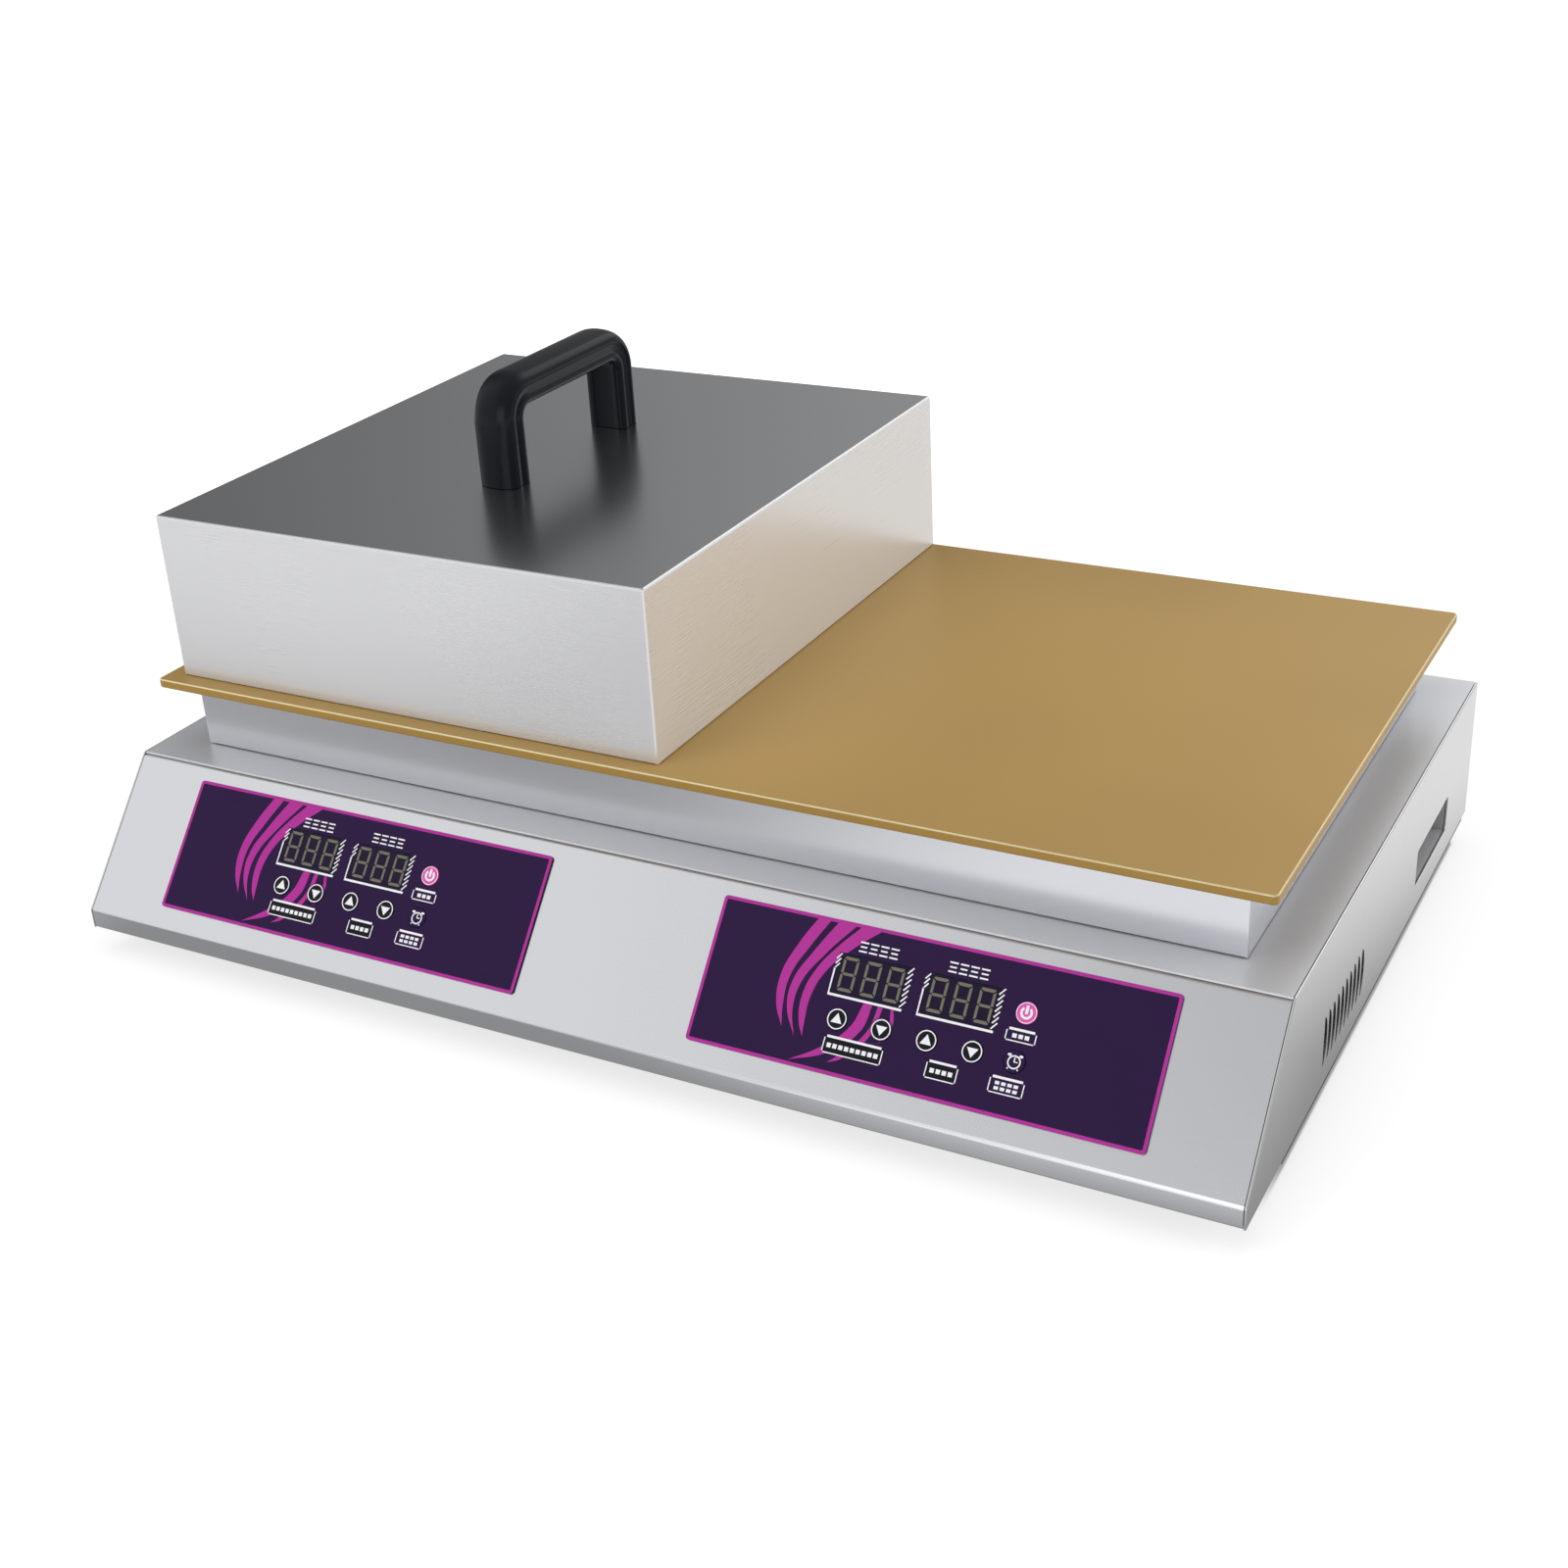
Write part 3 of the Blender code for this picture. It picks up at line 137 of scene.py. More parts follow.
class Wire:
    """An output socket of a node. Arithmetic on it adds Math nodes."""

    def __init__(self, net: "Net", socket: bpy.types.NodeSocket) -> None:
        """Wrap a socket.

        Args:
            net: the node tree that the socket belongs to.
            socket: the output socket.
        """
        self.net = net
        self.socket = socket

    def __add__(self, other: "Wire | float") -> "Wire":
        """Return self + other."""
        return self.net.maths("ADD", self, other)

    def __radd__(self, other: float) -> "Wire":
        """Return other + self."""
        return self.net.maths("ADD", other, self)

    def __sub__(self, other: "Wire | float") -> "Wire":
        """Return self - other."""
        return self.net.maths("SUBTRACT", self, other)

    def __rsub__(self, other: float) -> "Wire":
        """Return other - self."""
        return self.net.maths("SUBTRACT", other, self)

    def __mul__(self, other: "Wire | float") -> "Wire":
        """Return self * other."""
        return self.net.maths("MULTIPLY", self, other)

    def __rmul__(self, other: float) -> "Wire":
        """Return other * self."""
        return self.net.maths("MULTIPLY", other, self)

    def __abs__(self) -> "Wire":
        """Return self without its sign."""
        return self.net.node("ShaderNodeMath", {"operation": "ABSOLUTE"}, {0: self})


class Net:
    """A node tree, with one way to add any node and short ways for the common ones."""

    def __init__(self, owner: bpy.types.Material | bpy.types.World) -> None:
        """Take over the node tree of a material or a world."""
        owner.use_nodes = True
        self.tree = owner.node_tree

    def supply(self, node: bpy.types.Node | str, inputs: dict) -> None:
        """Feed a node's inputs.

        Args:
            node: the node, or the name of one that is there already.
            inputs: values or wires by the name or number of the input socket.
        """
        if isinstance(node, str):
            node = self.tree.nodes[node]
        for name, value in inputs.items():
            self.feed(node.inputs[name], value)

    def feed(self, socket: bpy.types.NodeSocket, value: object) -> None:
        """Link a wire to a socket, or set the socket's own value.

        Args:
            socket: the input socket.
            value: a Wire, a number, a vector or a colour.
        """
        if isinstance(value, Wire):
            self.tree.links.new(value.socket, socket)
            return
        if socket.type == "RGBA" and len(value) == 3:
            value = (*value, 1)
        socket.default_value = value

    def node(
        self, kind: str, settings: dict | None = None, inputs: dict | None = None, output: int | str = 0
    ) -> Wire:
        """Add a node.

        Args:
            kind: the node's type.
            settings: its properties, set first; "stops" gives a ramp's positions and colours.
            inputs: values or wires by the name or number of the input socket.
            output: the name or number of the output that is returned.

        Returns:
            The chosen output as a wire.
        """
        made = self.tree.nodes.new(kind)
        for name, value in (settings or {}).items():
            if name == "stops":
                while len(made.color_ramp.elements) < len(value):
                    made.color_ramp.elements.new(1)
                for element, (position, colour) in zip(made.color_ramp.elements, value):
                    element.position = position
                    element.color = (*colour, 1)
            else:
                setattr(made, name, value)
        self.supply(made, inputs or {})
        return Wire(self, made.outputs[output])

    def maths(self, operation: str, first: Wire | float, second: Wire | float) -> Wire:
        """Add a Math node on two values."""
        return self.node("ShaderNodeMath", {"operation": operation}, {0: first, 1: second})

    def clamped(self, value: Wire, low: float, high: float) -> Wire:
        """Stretch the span from low to high over 0 to 1, smoothly and clamped."""
        inputs = {"Value": value, "From Min": low, "From Max": high}
        return self.node("ShaderNodeMapRange", {"interpolation_type": "SMOOTHSTEP"}, inputs)

    def mix(self, factor: Wire | float, first: Wire | Colour, second: Wire | Colour) -> Wire:
        """Mix two colours."""
        return self.node("ShaderNodeMix", {"data_type": "RGBA"}, {0: factor, 6: first, 7: second}, 2)

    def blend(self, factor: Wire | float, first: Wire, second: Wire) -> Wire:
        """Blend two shaders."""
        return self.node("ShaderNodeMixShader", {}, {0: factor, 1: first, 2: second})

    def glow(self, strength: Wire | float) -> Wire:
        """Return a white glow."""
        return self.node("ShaderNodeEmission", {}, {"Color": (1, 1, 1), "Strength": strength})

    def apart(self, vector: Wire) -> tuple[Wire, Wire, Wire]:
        """Return the X, Y and Z of a vector."""
        first = self.node("ShaderNodeSeparateXYZ", {}, {0: vector})
        return tuple(Wire(self, output) for output in first.socket.node.outputs)

    def larger(self, first: Wire | float, second: Wire | float) -> Wire:
        """Return the larger of two values."""
        return self.maths("MAXIMUM", first, second)

    def rays(self) -> tuple[Wire, Wire, Wire]:
        """Return whether a ray comes from the camera, from a reflection or through glass."""
        outputs = self.node("ShaderNodeLightPath").socket.node.outputs
        return tuple(Wire(self, outputs[f"Is {kind} Ray"]) for kind in ("Camera", "Glossy", "Transmission"))

    def place(self, stretch: Sequence[float] = (1, 1, 1)) -> Wire:
        """Return the piece's own coordinates, scaled along each axis."""
        here = self.node("ShaderNodeTexCoord", output="Object")
        return self.node("ShaderNodeMapping", {}, {"Vector": here, "Scale": stretch})

    def noise(self, scale: float, stretch: Sequence[float] = (1, 1, 1), detail: float = 2) -> Wire:
        """Return a noise value from 0 to 1 with so many waves to the metre."""
        inputs = {"Vector": self.place(stretch), "Scale": scale, "Detail": detail}
        return self.node("ShaderNodeTexNoise", {}, inputs, "Fac")

    def bump(self, height: Wire, depth: float, strength: float = 1) -> Wire:
        """Return a normal from a height of 0 to 1.

        Args:
            height: the height wire.
            depth: how deep a height of 1 is, in metres.
            strength: how much of it shows.

        Returns:
            The normal as a wire.
        """
        inputs = {"Strength": strength, "Distance": depth, "Height": height}
        return self.node("ShaderNodeBump", {}, inputs, "Normal")


# Finishes


def shade(tint: Colour, factor: float) -> Colour:
    """Return a tint made darker or lighter."""
    return tuple(min(1, value * factor) for value in tint)


@dataclass(frozen=True)
class Finish:
    """A surface finish, made as one material on first use."""

    name: str

    def material(self) -> bpy.types.Material:
        """Find the finish's material, or make it on first use.

        Returns:
            The material.
        """
        label = f"{self.name}_finish"
        found = bpy.data.materials.get(label)
        if found:
            return found
        made = bpy.data.materials.new(label)
        net = Net(made)
        net.supply("Principled BSDF", self.look(net))
        return made

    def coat(self, thing: bpy.types.Object) -> None:
        """Give an object this finish alone."""
        thing.data.materials.clear()
        thing.data.materials.append(self.material())

    def look(self, net: Net) -> dict[str, object]:
        """Work out the finish.

        Args:
            net: the material's node tree.

        Returns:
            The values and wires of the shader's sockets by name.
        """
        raise NotImplementedError


@dataclass(frozen=True)
class SatinSteel(Finish):
    """Stainless sheet with a fine grain and faint clouds."""

    tint: Colour = (0.72, 0.73, 0.76)
    grain: Grain = Grain.ACROSS
    roughness: float = 0.24
    metal: float = 1
    fineness: float = 30

    def look(self, net: Net) -> dict[str, object]:
        """Grain drives colour, gloss and bump together; the clouds are finger marks wiped off.

        Args:
            net: the material's node tree.

        Returns:
            The shader's sockets by name.
        """
        grain = net.noise(self.fineness, self.grain.value, 2)
        cloud = net.noise(5, detail=3)
        return {
            "Base Color": net.mix(grain, shade(self.tint, 0.98), shade(self.tint, 1.015)),
            "Metallic": self.metal,
            "Roughness": self.roughness + (grain - 0.5) * 0.02 + (cloud - 0.5) * 0.06,
            "Normal": net.bump(grain, 0.03 * MM, 0.02),
        }


@dataclass(frozen=True)
class BronzePlate(Finish):
    """Bead-blasted cooking plate in a warm bronze, a little darker where it has been heated."""

    tint: Colour = (0.405, 0.256, 0.077)
    metal: float = 0.14
    roughness: float = 0.42

    def look(self, net: Net) -> dict[str, object]:
        """Fine blasted speckle over a slow heat tint.

        Args:
            net: the material's node tree.

        Returns:
            The shader's sockets by name.
        """
        speckle = net.noise(1400, detail=2)
        heat = net.noise(3.2, detail=2)
        base = net.mix(net.clamped(heat, 0.35, 0.7), self.tint, shade(self.tint, 0.86))
        return {
            "Base Color": net.mix(speckle * 0.5, base, shade(self.tint, 1.12)),
            "Metallic": self.metal,
            "Specular IOR Level": 0.3,
            "Roughness": self.roughness + (speckle - 0.5) * 0.12 + (heat - 0.5) * 0.06,
            "Normal": net.bump(speckle, 0.05 * MM, 0.25),
        }


@dataclass(frozen=True)
class MouldedPlastic(Finish):
    """Moulded plastic with a faint orange peel and a gloss that varies a little."""

    tint: Colour = (0.008, 0.009, 0.012)
    roughness: float = 0.2
    peel: float = 260
    depth: float = 0.02 * MM
    shine: float = 0.5

    def look(self, net: Net) -> dict[str, object]:
        """Orange peel bump, with handling marks in the gloss.

        Args:
            net: the material's node tree.

        Returns:
            The shader's sockets by name.
        """
        peel = net.noise(self.peel, detail=1)
        touch = net.noise(22, detail=4)
        light = tuple(min(1, value * 1.25 + 0.001) for value in self.tint)
        return {
            "Base Color": net.mix(touch, self.tint, light),
            "Roughness": self.roughness + (touch - 0.5) * 0.08,
            "Specular IOR Level": self.shine,
            "Normal": net.bump(peel, self.depth, 0.3),
        }


@dataclass(frozen=True)
class PrintedFilm(Finish):
    """Polyester overlay film or the ink on it: an even colour with a fine velvet texture."""

    tint: Colour = (0.020, 0.005, 0.047)
    roughness: float = 0.38

    def look(self, net: Net) -> dict[str, object]:
        """A velvet grain too fine to read as a pattern, and a slightly uneven ink.

        Args:
            net: the material's node tree.

        Returns:
            The shader's sockets by name.
        """
        velvet = net.noise(2400, detail=1)
        ink = net.noise(35, detail=3)
        return {
            "Base Color": net.mix(ink, self.tint, shade(self.tint, 1.1)),
            "Specular IOR Level": 0.14,
            "Roughness": self.roughness + (velvet - 0.5) * 0.1,
            "Normal": net.bump(velvet, 0.01 * MM, 0.3),
        }


@dataclass(frozen=True)
class SmokedWindow(Finish):
    """Smoked acrylic over a display, glossier than the film around it."""

    tint: Colour = (0.011, 0.006, 0.028)

    def look(self, net: Net) -> dict[str, object]:
        """Almost flat gloss with a trace of dust.

        Args:
            net: the material's node tree.

        Returns:
            The shader's sockets by name.
        """
        dust = net.clamped(net.noise(900, detail=2), 0.6, 0.9)
        return {
            "Base Color": net.mix(dust * 0.2, self.tint, (0.04, 0.04, 0.06)),
            "Specular IOR Level": 0.15,
            "Roughness": 0.12 + dust * 0.2,
        }


@dataclass(frozen=True)
class GalvanisedSheet(Finish):
    """Zinc-coated sheet or plated hardware, with a soft spangle."""

    tint: Colour = (0.5, 0.51, 0.52)
    roughness: float = 0.42

    def look(self, net: Net) -> dict[str, object]:
        """Spangle cells from a Voronoi pattern, clouded by noise.

        Args:
            net: the material's node tree.

        Returns:
            The shader's sockets by name.
        """
        inputs = {"Vector": net.place(), "Scale": 140}
        cell = net.node("ShaderNodeTexVoronoi", {}, inputs, "Distance")
        cloud = net.noise(40, detail=4)
        return {
            "Base Color": net.mix(cell + cloud * 0.5, shade(self.tint, 0.8), self.tint),
            "Metallic": 0.9,
            "Roughness": self.roughness + (cloud - 0.5) * 0.2,
            "Normal": net.bump(cloud, 0.03 * MM, 0.3),
        }


@dataclass(frozen=True)
class HeaterSheath(Finish):
    """Tubular heater sheath, stained from straw to blue-grey by heat."""

    def look(self, net: Net) -> dict[str, object]:
        """A slow change of stain along the tube.

        Args:
            net: the material's node tree.

        Returns:
            The shader's sockets by name.
        """
        stain = net.noise(18, detail=3)
        stops = [(0.3, (0.16, 0.15, 0.16)), (0.5, (0.30, 0.23, 0.15)), (0.7, (0.13, 0.14, 0.18))]
        return {
            "Base Color": net.node("ShaderNodeValToRGB", {"stops": stops}, {"Fac": stain}),
            "Metallic": 0.85,
            "Roughness": 0.42 + (stain - 0.5) * 0.3,
        }


@dataclass(frozen=True)
class CeramicWool(Finish):
    """White ceramic wool blanket with matted fibres."""

    def look(self, net: Net) -> dict[str, object]:
        """Fibres from two stretched noises.

        Args:
            net: the material's node tree.

        Returns:
            The shader's sockets by name.
        """
        fibre = net.noise(220, (1, 5, 1), 5) * 0.5 + net.noise(260, (5, 1, 1), 5) * 0.5
        return {
            "Base Color": net.mix(fibre, (0.62, 0.60, 0.55), (0.9, 0.89, 0.86)),
            "Roughness": 0.95,
            "Normal": net.bump(fibre, 0.8 * MM, 0.6),
        }


@dataclass(frozen=True)
class CircuitBoard(Finish):
    """Green solder mask over copper tracks."""

    def look(self, net: Net) -> dict[str, object]:
        """Tracks from a brick pattern, a little proud under the mask.

        Args:
            net: the material's node tree.

        Returns:
            The shader's sockets by name.
        """
        inputs = {"Vector": net.place(), "Scale": 60, "Mortar Size": 0.03}
        track = net.node("ShaderNodeTexBrick", {"offset": 0.35, "squash": 1.6}, inputs, "Fac")
        return {
            "Base Color": net.mix(track, (0.006, 0.095, 0.03), (0.02, 0.17, 0.06)),
            "Roughness": 0.35 + track * 0.1,
            "Normal": net.bump(track, 0.05 * MM, 0.5),
        }


DECK_STEEL = SatinSteel("deck_steel", tint=(0.65, 0.665, 0.70), roughness=0.34, metal=0.48)
FASCIA_STEEL = SatinSteel("fascia_steel", tint=(0.77, 0.78, 0.81), roughness=0.27)
SIDE_STEEL = SatinSteel("side_steel", tint=(0.72, 0.72, 0.73), grain=Grain.FRONT_TO_BACK, roughness=0.26)
REAR_STEEL = replace(SIDE_STEEL, name="rear_steel", grain=Grain.ACROSS)
SKIRT_STEEL = SatinSteel("skirt_steel", tint=(0.74, 0.75, 0.79), metal=0.7)
SKIRT_SIDE_STEEL = replace(SKIRT_STEEL, name="skirt_side_steel", grain=Grain.FRONT_TO_BACK)
# The lid's top takes a darker copy of the lid steel: a painted dark reflection.
LID_TOP_PAINTED_REFLECTION = SatinSteel("lid_top_steel", tint=(0.66, 0.675, 0.70), grain=Grain.FRONT_TO_BACK)
LID_WALL_STEEL = SatinSteel("lid_wall_steel", tint=(0.80, 0.805, 0.825), roughness=0.28, metal=0.36)
# The lid's sides take a warmer, lighter copy of the lid steel: a painted reflection of the bronze plate.
LID_SIDE_PAINTED_REFLECTION = replace(
    LID_WALL_STEEL, name="lid_side_steel", tint=(0.87, 0.86, 0.85), grain=Grain.FRONT_TO_BACK
)
# The grip pocket's darker, duller steel is painted shade in the recess.
GRIP_SHADE_STEEL = SatinSteel("grip_steel", tint=(0.5, 0.5, 0.51), roughness=0.4, metal=0.2)
BRONZE = BronzePlate("bronze_top")
BRONZE_EDGE = BronzePlate("bronze_edge", tint=(0.46, 0.28, 0.065))
# The plate's rounded rim is polished, and its much lighter tint is a painted highlight.
BRONZE_RIM_PAINTED_HIGHLIGHT = BronzePlate("bronze_rim", tint=(0.85, 0.72, 0.45), metal=0.6, roughness=0.22)
HANDLE_BLACK = MouldedPlastic(
    "handle_black", tint=(0.002, 0.0035, 0.006), roughness=0.26, depth=0.004 * MM, shine=0.2
)
NYLON = MouldedPlastic("gland_nylon", tint=(0.018, 0.018, 0.02), roughness=0.45, peel=700)
RUBBER = MouldedPlastic("foot_rubber", tint=(0.02, 0.02, 0.02), roughness=0.75, peel=900, depth=0.06 * MM)
PALE_PLASTIC = MouldedPlastic("pale_plastic", tint=(0.7, 0.69, 0.66), roughness=0.45, peel=600)
FILM = PrintedFilm("overlay_film")
MAGENTA = PrintedFilm("magenta_ink", tint=(0.43, 0.03, 0.30), roughness=0.4)
WHITE_INK = PrintedFilm("white_ink", tint=(0.86, 0.85, 0.88), roughness=0.45)
BLACK_INK = PrintedFilm("black_ink", tint=(0.006, 0.006, 0.012), roughness=0.35)
PINK_INK = PrintedFilm("pink_ink", tint=(0.72, 0.10, 0.42), roughness=0.4)
UNLIT_SEGMENT = PrintedFilm("unlit_segment", tint=(0.17, 0.155, 0.115), roughness=0.4)
WINDOW = SmokedWindow("smoked_window")
GALVANISED = GalvanisedSheet("galvanised_sheet")
# The base pan's near-black tint is painted shade: the dark strip under the side covers.
PAN_PAINTED_SHADE = GalvanisedSheet("dark_pan", tint=(0.10, 0.10, 0.105), roughness=0.5)
PLATED = GalvanisedSheet("plated_hardware", tint=(0.62, 0.62, 0.6), roughness=0.3)
SHEATH = HeaterSheath("heater_sheath")
WOOL = CeramicWool("ceramic_wool")
BOARD = CircuitBoard("circuit_board")


# Outlines for flat shapes


@dataclass(frozen=True)
class Outline:
    """A closed line to be filled: straight between its points, or a smooth curve with some sharp points."""

    points: tuple[Point, ...]
    curved: bool = False
    sharp: frozenset[int] = frozenset()

    def lay(self, curve: bpy.types.Curve) -> None:
        """Add this outline to a curve as a closed Bezier spline.

        Args:
            curve: the curve to add to.
        """
        spline = curve.splines.new("BEZIER")
        spline.bezier_points.add(len(self.points) - 1)
        for index, (spot, (x, y)) in enumerate(zip(spline.bezier_points, self.points)):
            kind = "AUTO" if self.curved and index not in self.sharp else "VECTOR"
            spot.handle_left_type = kind
            spot.handle_right_type = kind
            spot.co = (x, y, 0)
        spline.use_cyclic_u = True
        spline.resolution_u = 8 if self.curved else 1

    def metres(self, origin: Point = (0, 0)) -> "Outline":
        """Turn an outline in millimetres with y down into one in metres with y up.

        Args:
            origin: where its zero comes to lie, in metres.

        Returns:
            The outline.
        """
        left, top = origin
        return replace(self, points=tuple((left + x * MM, top - y * MM) for x, y in self.points))


def arc(centre: Point, radius: Point, start: float, end: float, steps: int) -> list[Point]:
    """Return the points of an arc or of part of an ellipse.

    Args:
        centre: its middle.
        radius: its reach along x and along y.
        start: the first angle in degrees.
        end: the last angle in degrees.
        steps: how many stretches it has.

    Returns:
        The points, both ends included.
    """
    (x, y), (across, up) = centre, radius
    turns = [math.radians(start + (end - start) * step / steps) for step in range(steps + 1)]
    return [(x + across * math.cos(turn), y + up * math.sin(turn)) for turn in turns]


def disc(centre: Point, radius: float, steps: int = 40) -> Outline:
    """Return a circle."""
    return Outline(tuple(arc(centre, (radius, radius), 0, 360, steps)[:-1]))


def ring(centre: Point, radius: float, width: float) -> list[Outline]:
    """Return a ring as its outer and inner circle."""
    return [disc(centre, radius), disc(centre, radius - width)]


def bar(low: Point, high: Point, radius: float = 0) -> Outline:
    """Return a rectangle, with rounded corners where a radius is given.

    Args:
        low: the corner with the lowest x and y.
        high: the corner with the highest x and y.
        radius: how round its corners are.

    Returns:
        The rectangle.
    """
    (left, bottom), (right, top) = (low[0] + radius, low[1] + radius), (high[0] - radius, high[1] - radius)
    corners = ((right, top), (left, top), (left, bottom), (right, bottom))
    if not radius:
        return Outline(corners)
    points: list[Point] = []
    for quarter, corner in enumerate(corners):
        points += arc(corner, (radius, radius), 90 * quarter, 90 * quarter + 90, 5)
    return Outline(tuple(points))


def centred_bar(centre: Point, width: float, height: float, radius: float) -> Outline:
    """Return a rounded rectangle by its middle and its size."""
    (x, y), across, up = centre, width / 2, height / 2
    return bar((x - across, y - up), (x + across, y + up), radius)


def stroke(start: Point, end: Point, width: float) -> Outline:
    """Return a straight stroke.

    Args:
        start: the middle of its first end.
        end: the middle of its other end.
        width: how wide it is.

    Returns:
        The stroke.
    """
    along = Vector(end) - Vector(start)
    across = Vector((-along.y, along.x)).normalized() * width / 2
    corners = (Vector(start) - across, Vector(end) - across, Vector(end) + across, Vector(start) + across)
    return Outline(tuple(tuple(corner) for corner in corners))


# The bench


class Workpiece:
    """One piece on the bench. Each change to its shape is made with Blender's own operators."""

    def __init__(self, name: str) -> None:
        """Take the object that an operator has just made, and name it.

        Args:
            name: the piece's name.
        """
        self.thing = bpy.context.object
        self.thing.name = name
        self.thing.data.name = name

    @staticmethod
    def clear() -> None:
        """Leave edit mode and deselect everything."""
        if bpy.context.mode != "OBJECT":
            bpy.ops.object.mode_set(mode="OBJECT")
        bpy.ops.object.select_all(action="DESELECT")

    @classmethod
    def block(cls, name: str, low: Sequence[float], high: Sequence[float]) -> "Workpiece":
        """Start from a cube between two corners.

        Args:
            name: the piece's name.
            low: the lowest corner.
            high: the highest corner.

        Returns:
            The block.
        """
        cls.clear()
        low, high = Vector(low), Vector(high)
        bpy.ops.mesh.primitive_cube_add(size=1, location=(low + high) / 2)
        bpy.ops.transform.resize(value=high - low)
        bpy.ops.object.transform_apply(location=True, rotation=True, scale=True)
        return cls(name)

    @classmethod
    def traced(cls, name: str, outlines: Sequence[Outline], **settings: object) -> "Workpiece":
        """Trace outlines with a curve and make it a mesh.

        Args:
            name: the piece's name.
            outlines: closed lines in local x and y.
            settings: how the curve is filled and extruded.

        Returns:
            The traced lines or faces.
        """
        cls.clear()
        bpy.ops.curve.primitive_bezier_circle_add()
        piece = cls(name)
        curve = piece.thing.data
        curve.splines.clear()
        for setting, value in settings.items():
            setattr(curve, setting, value)
        for outline in outlines:
            outline.lay(curve)
        bpy.ops.object.convert(target="MESH")
        return piece

    @classmethod
    def drawn(
        cls, name: str, outlines: Sequence[Outline], low: float, high: float, place: Matrix | None = None
    ) -> "Workpiece":
        """Fill outlines that lie in local x and y, and give them a thickness.

        Args:
            name: the piece's name.
            outlines: closed lines; one inside another is a hole.
            low: the lower local z.
            high: the upper local z.
            place: where the local frame stands.

        Returns:
            The piece, a closed mesh.
        """
        piece = cls.traced(name, outlines, dimensions="2D", fill_mode="BOTH", extrude=(high - low) / 2)
        piece.weld()
        piece.stand((place or Matrix()) @ Matrix.Translation((0, 0, (low + high) / 2)))
        return piece

    @classmethod
    def turned(cls, name: str, profile: Sequence[Point], steps: int, place: Matrix) -> "Workpiece":
        """Spin a closed profile of (radius, height) points about local Z.

        Args:
            name: the piece's name.
            profile: the points, which close on themselves or start and end on the axis.
            steps: how many stretches the round has.
            place: where the local frame stands.

        Returns:
            The piece, a closed mesh.
        """
        piece = cls.traced(name, [Outline(tuple(profile))], fill_mode="FULL")
        piece.stand(Matrix.Rotation(math.pi / 2, 4, "X"))
        with piece.bench():
            if profile[0][0] == 0 and profile[-1][0] == 0:
                piece.pick(Part.EDGE, lambda at, _: abs(at.x) < TINY)
                bpy.ops.mesh.delete(type="EDGE_FACE")
            bpy.ops.mesh.select_all(action="SELECT")
            bpy.ops.mesh.spin(steps=steps, angle=math.tau, center=(0, 0, 0), axis=(0, 0, 1))
        piece.weld()
        piece.stand(place)
        return piece

    def hold(self) -> None:
        """Make this the only selected and active piece."""
        self.clear()
        self.thing.select_set(True)
        bpy.context.view_layer.objects.active = self.thing

    @contextmanager
    def bench(self) -> Iterator[None]:
        """Hold the piece in edit mode, all of it selected at first, for as long as the block lasts.

        Returns:
            What a with statement runs.
        """
        self.hold()
        bpy.ops.object.mode_set(mode="EDIT")
        bpy.ops.mesh.select_mode(type="VERT")
        bpy.ops.mesh.select_all(action="SELECT")
        yield
        bpy.ops.object.mode_set(mode="OBJECT")

    def pick(self, part: Part, test: Test) -> None:
        """Select the elements that pass a test, in edit mode.

        Args:
            part: the kind of element.
            test: takes an element's middle, and its normal or an edge's direction.
        """
        bpy.ops.mesh.select_mode(type=part.value)
        bpy.ops.mesh.select_all(action="DESELECT")
        mesh = bmesh.from_edit_mesh(self.thing.data)
        mesh.normal_update()
        if part is Part.FACE:
            found = [face for face in mesh.faces if test(face.calc_center_median(), face.normal)]
        elif part is Part.EDGE:
            found = [edge for edge in mesh.edges if test(*self.middle_and_run(edge))]
        else:
            found = [vert for vert in mesh.verts if test(vert.co, vert.normal)]
        for element in found:
            element.select_set(True)
        mesh.select_flush_mode()
        bmesh.update_edit_mesh(self.thing.data)

    @staticmethod
    def middle_and_run(edge: bmesh.types.BMEdge) -> tuple[Vector, Vector]:
        """Return an edge's middle and its direction."""
        start, end = (vert.co for vert in edge.verts)
        return (start + end) / 2, (end - start).normalized()

    def weld(self) -> None:
        """Merge doubles, then turn all faces outwards."""
        with self.bench():
            bpy.ops.mesh.remove_doubles(threshold=TINY / 10)
            bpy.ops.mesh.normals_make_consistent(inside=False)

    def stand(self, place: Matrix) -> None:
        """Put the piece's local frame somewhere, and keep its place in its mesh.

        Args:
            place: where the local frame stands.
        """
        self.hold()
        self.thing.matrix_world = place
        bpy.ops.object.transform_apply(location=True, rotation=True, scale=True)

    def split(self, point: Sequence[float], normal: Sequence[float], **settings: bool) -> None:
        """Cut new edges where a plane meets the piece.

        Args:
            point: a point on the plane.
            normal: the way that the plane faces.
            settings: whether one side is cleared and the cut is filled.
        """
        with self.bench():
            bpy.ops.mesh.bisect(plane_co=point, plane_no=normal, **settings)

    @staticmethod
    def extrude(way: Sequence[float]) -> None:
        """Extrude what is selected along a vector, in edit mode."""
        bpy.ops.mesh.extrude_region_move(TRANSFORM_OT_translate={"value": way})

    def push(self, test: Test, way: Sequence[float]) -> None:
        """Extrude the faces that pass a test.

        Args:
            test: takes a face's middle and normal.
            way: how far they go.
        """
        with self.bench():
            self.pick(Part.FACE, test)
            self.extrude(way)

